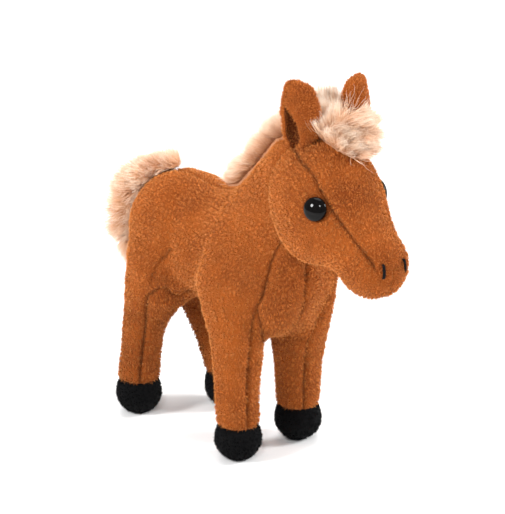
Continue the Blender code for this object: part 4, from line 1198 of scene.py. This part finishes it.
# tail: a hairy tongue of cloth sewn to the top of the rump
tail_line = over_skin([(0, 27, 112), (0, 37, 110), (0, 47, 101), (0, 53, 88), (0, 54.5, 73), (0, 53.5, 58)], [1.6, 2.8, 3.8, 5.2, 5.8, 5.2])
obj, p, F = core("tail_core", tail_line, [(3.5, 1.2), (6.0, 2.4), (8.0, 3.1), (9.0, 3.4), (7.5, 3.2), (3.5, 1.8)], clear=0.45)
root = over_skin([(0, 26.8, 111.2)], [2.0])[0]
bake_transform(obj)
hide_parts("tail")
for part, seed in (("a", 503), ("b", 504)):
    rng = np.random.default_rng(seed)
    which, w = sample(p, F, 4.6 * HAIRS, rng)
    roots = (p[F[which]] * w[:, :, None]).sum(1)
    normals = unit((vertex_normals(p, F)[F[which]] * w[:, :, None]).sum(1))
    skin_n = normals_at(roots)
    n = len(roots)
    down = np.clip((112 - roots[:, 2]) / 50, 0, 1)[:, None]
    flow = unit((1 - down) * np.array([0.0, 0.75, 0.2]) + down * np.array([0.0, 0.25, -1.0]))
    first = unit(0.95 * normals + 0.15 * skin_n + 0.5 * flow + 0.2 * rng.normal(0, 1, (n, 3)))
    later = unit(0.35 * skin_n + 0.5 * normals + 0.85 * flow + np.array([0.0, 0.0, -0.1]))
    length = np.interp(down[:, 0], [0, 0.25, 0.7, 1], [7.5, 11.0, 13.5, 12.5]) * (0.65 + 0.5 * rng.random(n))
    length *= np.clip(1 + 0.6 * (normals * skin_n).sum(1), 0.45, 1.05)
    obj = strands("tail_hair_" + part, roots, first, later, length, rng, clump=4.6, clear=0.5, lock=0.34)
    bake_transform(obj)


# ---------------------------------------------------------------- eyes
def frame_at(normal):
    z = np.array(normal)
    x = unit(np.cross([0.0, 0.0, 1.0], z))
    return np.stack([x, np.cross(z, x), z], 1)


def lathe(name, profile, seat, normal, material, segments=64):
    """A closed turned body. The profile is (radius, height) from pole to pole."""
    profile = np.array(profile, float)
    a = np.arange(segments) * 2 * math.pi / segments
    ring = np.stack([profile[1:-1, 0][:, None] * np.cos(a), profile[1:-1, 0][:, None] * np.sin(a), np.repeat(profile[1:-1, 1][:, None], segments, 1)], -1)
    m = len(profile) - 2
    p = np.concatenate([ring.reshape(-1, 3), [[0, 0, profile[0, 1]], [0, 0, profile[-1, 1]]]])
    faces = []
    for j in range(m - 1):
        for k in range(segments):
            b = (k + 1) % segments
            faces += [(j * segments + k, (j + 1) * segments + k, (j + 1) * segments + b), (j * segments + k, (j + 1) * segments + b, j * segments + b)]
    for k in range(segments):
        b = (k + 1) % segments
        faces += [(m * segments, k, b), (m * segments + 1, (m - 1) * segments + b, (m - 1) * segments + k)]
    obj = make_object(name, p @ frame_at(normal).T + seat, np.array(faces), material)
    obj.data.set_sharp_from_angle(angle=math.radians(35))
    return obj


m = Nodes("eye_gloss")
specks = m.noise(0.5, detail=2.0)
m.link(m.ramp(specks, [(0.3, srgb(5, 4, 4)), (0.8, srgb(14, 11, 10))]), m.shader.inputs["Base Color"])
m.link(m.ramp(m.noise(2.5, detail=5.0, rough=0.7), [(0.3, 0.035), (0.8, 0.075)]), m.shader.inputs["Roughness"])
m.shader.inputs["Specular IOR Level"].default_value = 0.13
m.bump(m.noise(1.8, detail=2.0), 0.03, 0.05)
eye_gloss = m.material

for hand in ("right", "left"):
    seat = onto(from_head(EYE_AT[hand]), rounds=10)
    normal = normals_at(seat)[0]
    seat = seat[0]
    R, lift = EYE_D / 2, 0.15
    angles = np.radians(np.linspace(90, 0, 22))
    dome = [(R * math.cos(a), lift + 0.7 + (EYE_RISE - 0.7) * math.sin(a)) for a in angles]
    under = [(R - 0.05, lift + 0.35), (R - 0.25, lift + 0.08), (R - 0.6, lift), (SHANK_D / 2 + 0.3, lift), (SHANK_D / 2, lift - 0.3)]
    ribs = []
    for i in range(5):
        z = lift - 1.4 - i * 1.1
        ribs += [(SHANK_D / 2, z), (SHANK_D / 2 + 0.12, z - 0.35), (SHANK_D / 2 - 0.1, z - 0.55)]
    tip = [(SHANK_D / 2 - 0.5, lift - SHANK_LEN), (0, lift - SHANK_LEN)]
    obj = lathe("eye_bead_" + hand, dome + under + ribs + tip, seat, normal, eye_gloss)
    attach(obj, "horse")
    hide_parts("eye_" + hand)


# ---------------------------------------------------------------- nostrils
def thread_tube(points, radius, sides=8):
    points = np.array(points, float)
    run = unit(np.gradient(points, axis=0))
    side = unit(np.cross(run, np.tile([0.0, -1.0, 0.2], (len(points), 1))))
    up = np.cross(run, side)
    a = np.arange(sides) * 2 * math.pi / sides
    r = np.full(len(points), radius)
    r[0] = r[-1] = radius * 0.55
    ring = points[:, None] + r[:, None, None] * (np.cos(a)[None, :, None] * side[:, None] + np.sin(a)[None, :, None] * up[:, None])
    p = np.concatenate([ring.reshape(-1, 3), points[:1], points[-1:]])
    m, faces = len(points), []
    for j in range(m - 1):
        for k in range(sides):
            b = (k + 1) % sides
            faces += [(j * sides + k, j * sides + b, (j + 1) * sides + b), (j * sides + k, (j + 1) * sides + b, (j + 1) * sides + k)]
    for k in range(sides):
        b = (k + 1) % sides
        faces += [(m * sides, b, k), (m * sides + 1, (m - 1) * sides + k, (m - 1) * sides + b)]
    F = np.array(faces)
    if (p[F[:, 0]] * np.cross(p[F[:, 1]], p[F[:, 2]])).sum() < 0:
        F = F[:, ::-1]
    return p, F


m = Nodes("black_thread")
ply = m.noise(0.25, detail=3.0, stretch=(1.0, 1.0, 3.0))
m.link(m.ramp(ply, [(0.3, srgb(2, 2, 3)), (0.75, srgb(12, 11, 12))]), m.shader.inputs["Base Color"])
m.set(Roughness=0.8, Sheen_Weight=0.02, Sheen_Roughness=0.4)
m.shader.inputs["Specular IOR Level"].default_value = 0.12
m.bump(ply, 0.6, 0.15)
black_thread = m.material

for hand, across, lift in (("right", (-4.6, -4.9), 0.35), ("left", (6.4, 6.8), -0.1)):
    # Straight down the front of the muzzle, lying on the pile.
    reach = np.linspace(-62.0, -36.0, 261)
    bar = []
    for x, z in zip(np.linspace(*across, 15), np.linspace(-14.4, -20.6, 15)):
        line = from_head(np.stack([np.full(261, x), reach, np.full(261, z)], 1))
        bar.append(line[np.argmax(form(line) < lift)])
    bar = np.array(bar)
    n = normals_at(bar)
    bar[0] -= 1.3 * n[0]
    bar[1] -= 0.3 * n[1]
    bar[-2] -= 0.3 * n[-2]
    bar[-1] -= 1.3 * n[-1]
    side = unit(np.cross(n, np.tile([0.0, 0.0, 1.0], (len(bar), 1))))
    P2, F2, count = [], [], 0
    fine = np.linspace(0, 1, 60)
    own = np.linspace(0, 1, len(bar))
    for k in range(4):
        a = fine * 7.0 + k * math.pi / 2
        mid = np.stack([np.interp(fine, own, bar[:, i]) for i in range(3)], 1)
        s2 = np.stack([np.interp(fine, own, side[:, i]) for i in range(3)], 1)
        n2 = np.stack([np.interp(fine, own, n[:, i]) for i in range(3)], 1)
        path = mid + 0.33 * (np.cos(a)[:, None] * s2 + 0.7 * np.sin(a)[:, None] * n2)
        p, f = thread_tube(path, 0.30)
        P2.append(p)
        F2.append(f + count)
        count += len(p)
    obj = make_object("nostril_bar_" + hand, np.concatenate(P2), np.concatenate(F2), black_thread)
    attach(obj, "horse")
    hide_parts("nostril_stitch_" + hand)


# ---------------------------------------------------------------- what is inside
m = Nodes("fibre_fill")
wisps = m.noise(2.2, detail=6.0, rough=0.7, distortion=1.5)
m.link(m.ramp(wisps, [(0.3, srgb(205, 203, 198)), (0.7, srgb(244, 243, 240))]), m.shader.inputs["Base Color"])
m.set(Roughness=1.0, Sheen_Weight=0.6, Sheen_Roughness=0.6)
m.bump(wisps, 0.9, 1.2)
fibre_fill = m.material

PLANES = {"left": HIP_CUT, "right": (mirrored(HIP_CUT[0]), mirrored(HIP_CUT[1]))}


def beyond(p, plane):
    n = np.array(plane[1], float)
    return (p - np.array(plane[0], float)) @ (n / np.linalg.norm(n))


def wad(name, limit, low, high):
    """Loose fibre in the skin's own shape, drawn in, with a lumpy surface."""

    def field(p):
        return np.maximum(form(p) + 3.6 + 0.5 * noise(p, 6.0, 60.0), limit(p) + 0.3)

    p, q = net_of(field, low, high, 2.0, 3)
    t = triangles(p, q)
    obj = make_object(name + "_fibre", p, t, fibre_fill)
    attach(obj, "horse")
    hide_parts(name)


HEAD_CUT = ((0, HEAD_CUT_Y, 0), (0, 1, 0))
for leg in LEGS:
    hand = leg.split("_")[1]
    sx, front = (-1 if hand == "right" else 1), leg.startswith("front")
    wad(
        "stuffing_leg_" + leg,
        lambda p, sx=sx, front=front, hand=hand: np.maximum(
            np.maximum(beyond(p, PLANES[hand]), 0.5 - sx * p[:, 0]), (p[:, 1] + 10) * (1 if front else -1) + 0.5
        ),
        (-36, -60, -3) if front else (-36, -12, -3),
        (36, -6, 80) if front else (36, 58, 80),
    )
wad(
    "stuffing_body",
    lambda p: np.maximum(np.maximum(-beyond(p, PLANES["left"]), -beyond(p, PLANES["right"])), beyond(p, NECK_CUT)),
    (-34, -66, 40),
    (34, 58, 116),
)
wad("stuffing_neck", lambda p: np.maximum(-beyond(p, NECK_CUT), -beyond(p, HEAD_CUT)), (-30, -90, 70), (30, -4, 156))
for hand in ("right", "left"):
    pass
eye_seats = [(onto(from_head(EYE_AT[h]), rounds=10)[0], normals_at(onto(from_head(EYE_AT[h]), rounds=10))[0]) for h in ("right", "left")]


def head_limit(p):
    out = beyond(p, HEAD_CUT)
    for seat, normal in eye_seats:
        q = p - seat
        depth = q @ normal
        away = np.linalg.norm(q - depth[:, None] * normal, axis=1)
        out = np.maximum(out, np.minimum(7.0 - away, depth + 9.5))
    return out


wad("stuffing_head", head_limit, (-34, -126, 88), (34, -60, 154))

m = Nodes("washer_moulded")
grain = m.noise(0.8, detail=4.0)
m.link(m.ramp(grain, [(0.3, srgb(196, 196, 190)), (0.7, srgb(222, 222, 216))]), m.shader.inputs["Base Color"])
m.link(m.ramp(grain, [(0.3, 0.35), (0.7, 0.5)]), m.shader.inputs["Roughness"])
m.bump(grain, 0.15, 0.05)
for hand in ("right", "left"):
    node = frame["nodes"]["eye_washer_" + hand]
    node.data.materials.clear()
    node.data.materials.append(m.material)


# ---------------------------------------------------------------- floor, light and camera
floor_mesh = bpy.data.meshes.new("floor")
floor_mesh.from_pydata([(-6, -6, 0), (6, -6, 0), (6, 6, 0), (-6, 6, 0)], [], [(0, 1, 2, 3)])
floor = bpy.data.objects.new("floor", floor_mesh)
bpy.context.scene.collection.objects.link(floor)
f = Nodes("studio_floor")
f.link(f.ramp(f.noise(400.0, detail=2.0), [(0.3, srgb(252, 252, 252)), (0.7, srgb(255, 255, 255))]), f.shader.inputs["Base Color"])
f.set(Roughness=0.9)
f.shader.inputs["Specular IOR Level"].default_value = 0.1
floor_mesh.materials.append(f.material)

world = bpy.data.worlds.new("studio")
bpy.context.scene.world = world
world.use_nodes = True
background = world.node_tree.nodes["Background"]
background.inputs["Color"].default_value = (1.0, 1.0, 1.0, 1)
background.inputs["Strength"].default_value = 0.50

AIM = Vector((0.0, 0.0, 0.08))


def softbox(name, place, power, width, height):
    light = bpy.data.lights.new(name, "AREA")
    light.shape = "ELLIPSE"
    light.size, light.size_y = width, height
    light.energy = power
    obj = bpy.data.objects.new(name, light)
    obj.location = place
    obj.rotation_mode = "QUATERNION"
    obj.rotation_quaternion = (AIM - Vector(place)).to_track_quat("-Z", "Y")
    bpy.context.scene.collection.objects.link(obj)


softbox("key", (-1.57, 0.20, 0.87), 27.0, 0.4, 0.4)
softbox("second", (-1.08, -0.99, 1.12), 10.0, 0.28, 0.28)
softbox("side", (1.15, -0.95, 0.80), 27.0, 0.5, 0.5)
softbox("top", (0.2, 0.3, 1.9), 24.0, 1.6, 1.6)

target = SHIFT / 1000
azimuth, elevation = math.radians(-40.0), math.radians(23.4)
back_way = Vector((math.sin(azimuth) * math.cos(elevation), -math.cos(azimuth) * math.cos(elevation), math.sin(elevation)))
right = Vector((math.cos(azimuth), math.sin(azimuth), 0.0))
above = back_way.cross(right)
stand = Vector(target) + 1.696 * back_way
FOCAL = 3904.0  # in pixels of a picture 505 wide
ahead = (-back_way * FOCAL + right * (252.5 - 218.5) + above * (423.7 - 257.0)).normalized()
camera_data = bpy.data.cameras.new("camera")
camera_data.sensor_fit = "HORIZONTAL"
camera_data.sensor_width = 36.0
camera_data.lens = math.hypot(FOCAL, 252.5 - 218.5, 423.7 - 257.0) * 36.0 / 505.0
camera_data.clip_start, camera_data.clip_end = 0.1, 30.0
camera = bpy.data.objects.new("camera", camera_data)
camera.location = stand
camera.rotation_mode = "QUATERNION"
z = -ahead
x = Vector((0, 0, 1)).cross(z).normalized()
y = z.cross(x)
camera.rotation_quaternion = Matrix(((x.x, y.x, z.x), (x.y, y.y, z.y), (x.z, y.z, z.z))).to_quaternion()
bpy.context.scene.collection.objects.link(camera)
bpy.context.scene.camera = camera
bpy.context.scene.view_settings.view_transform = "Standard"

bpy.context.view_layer.update()
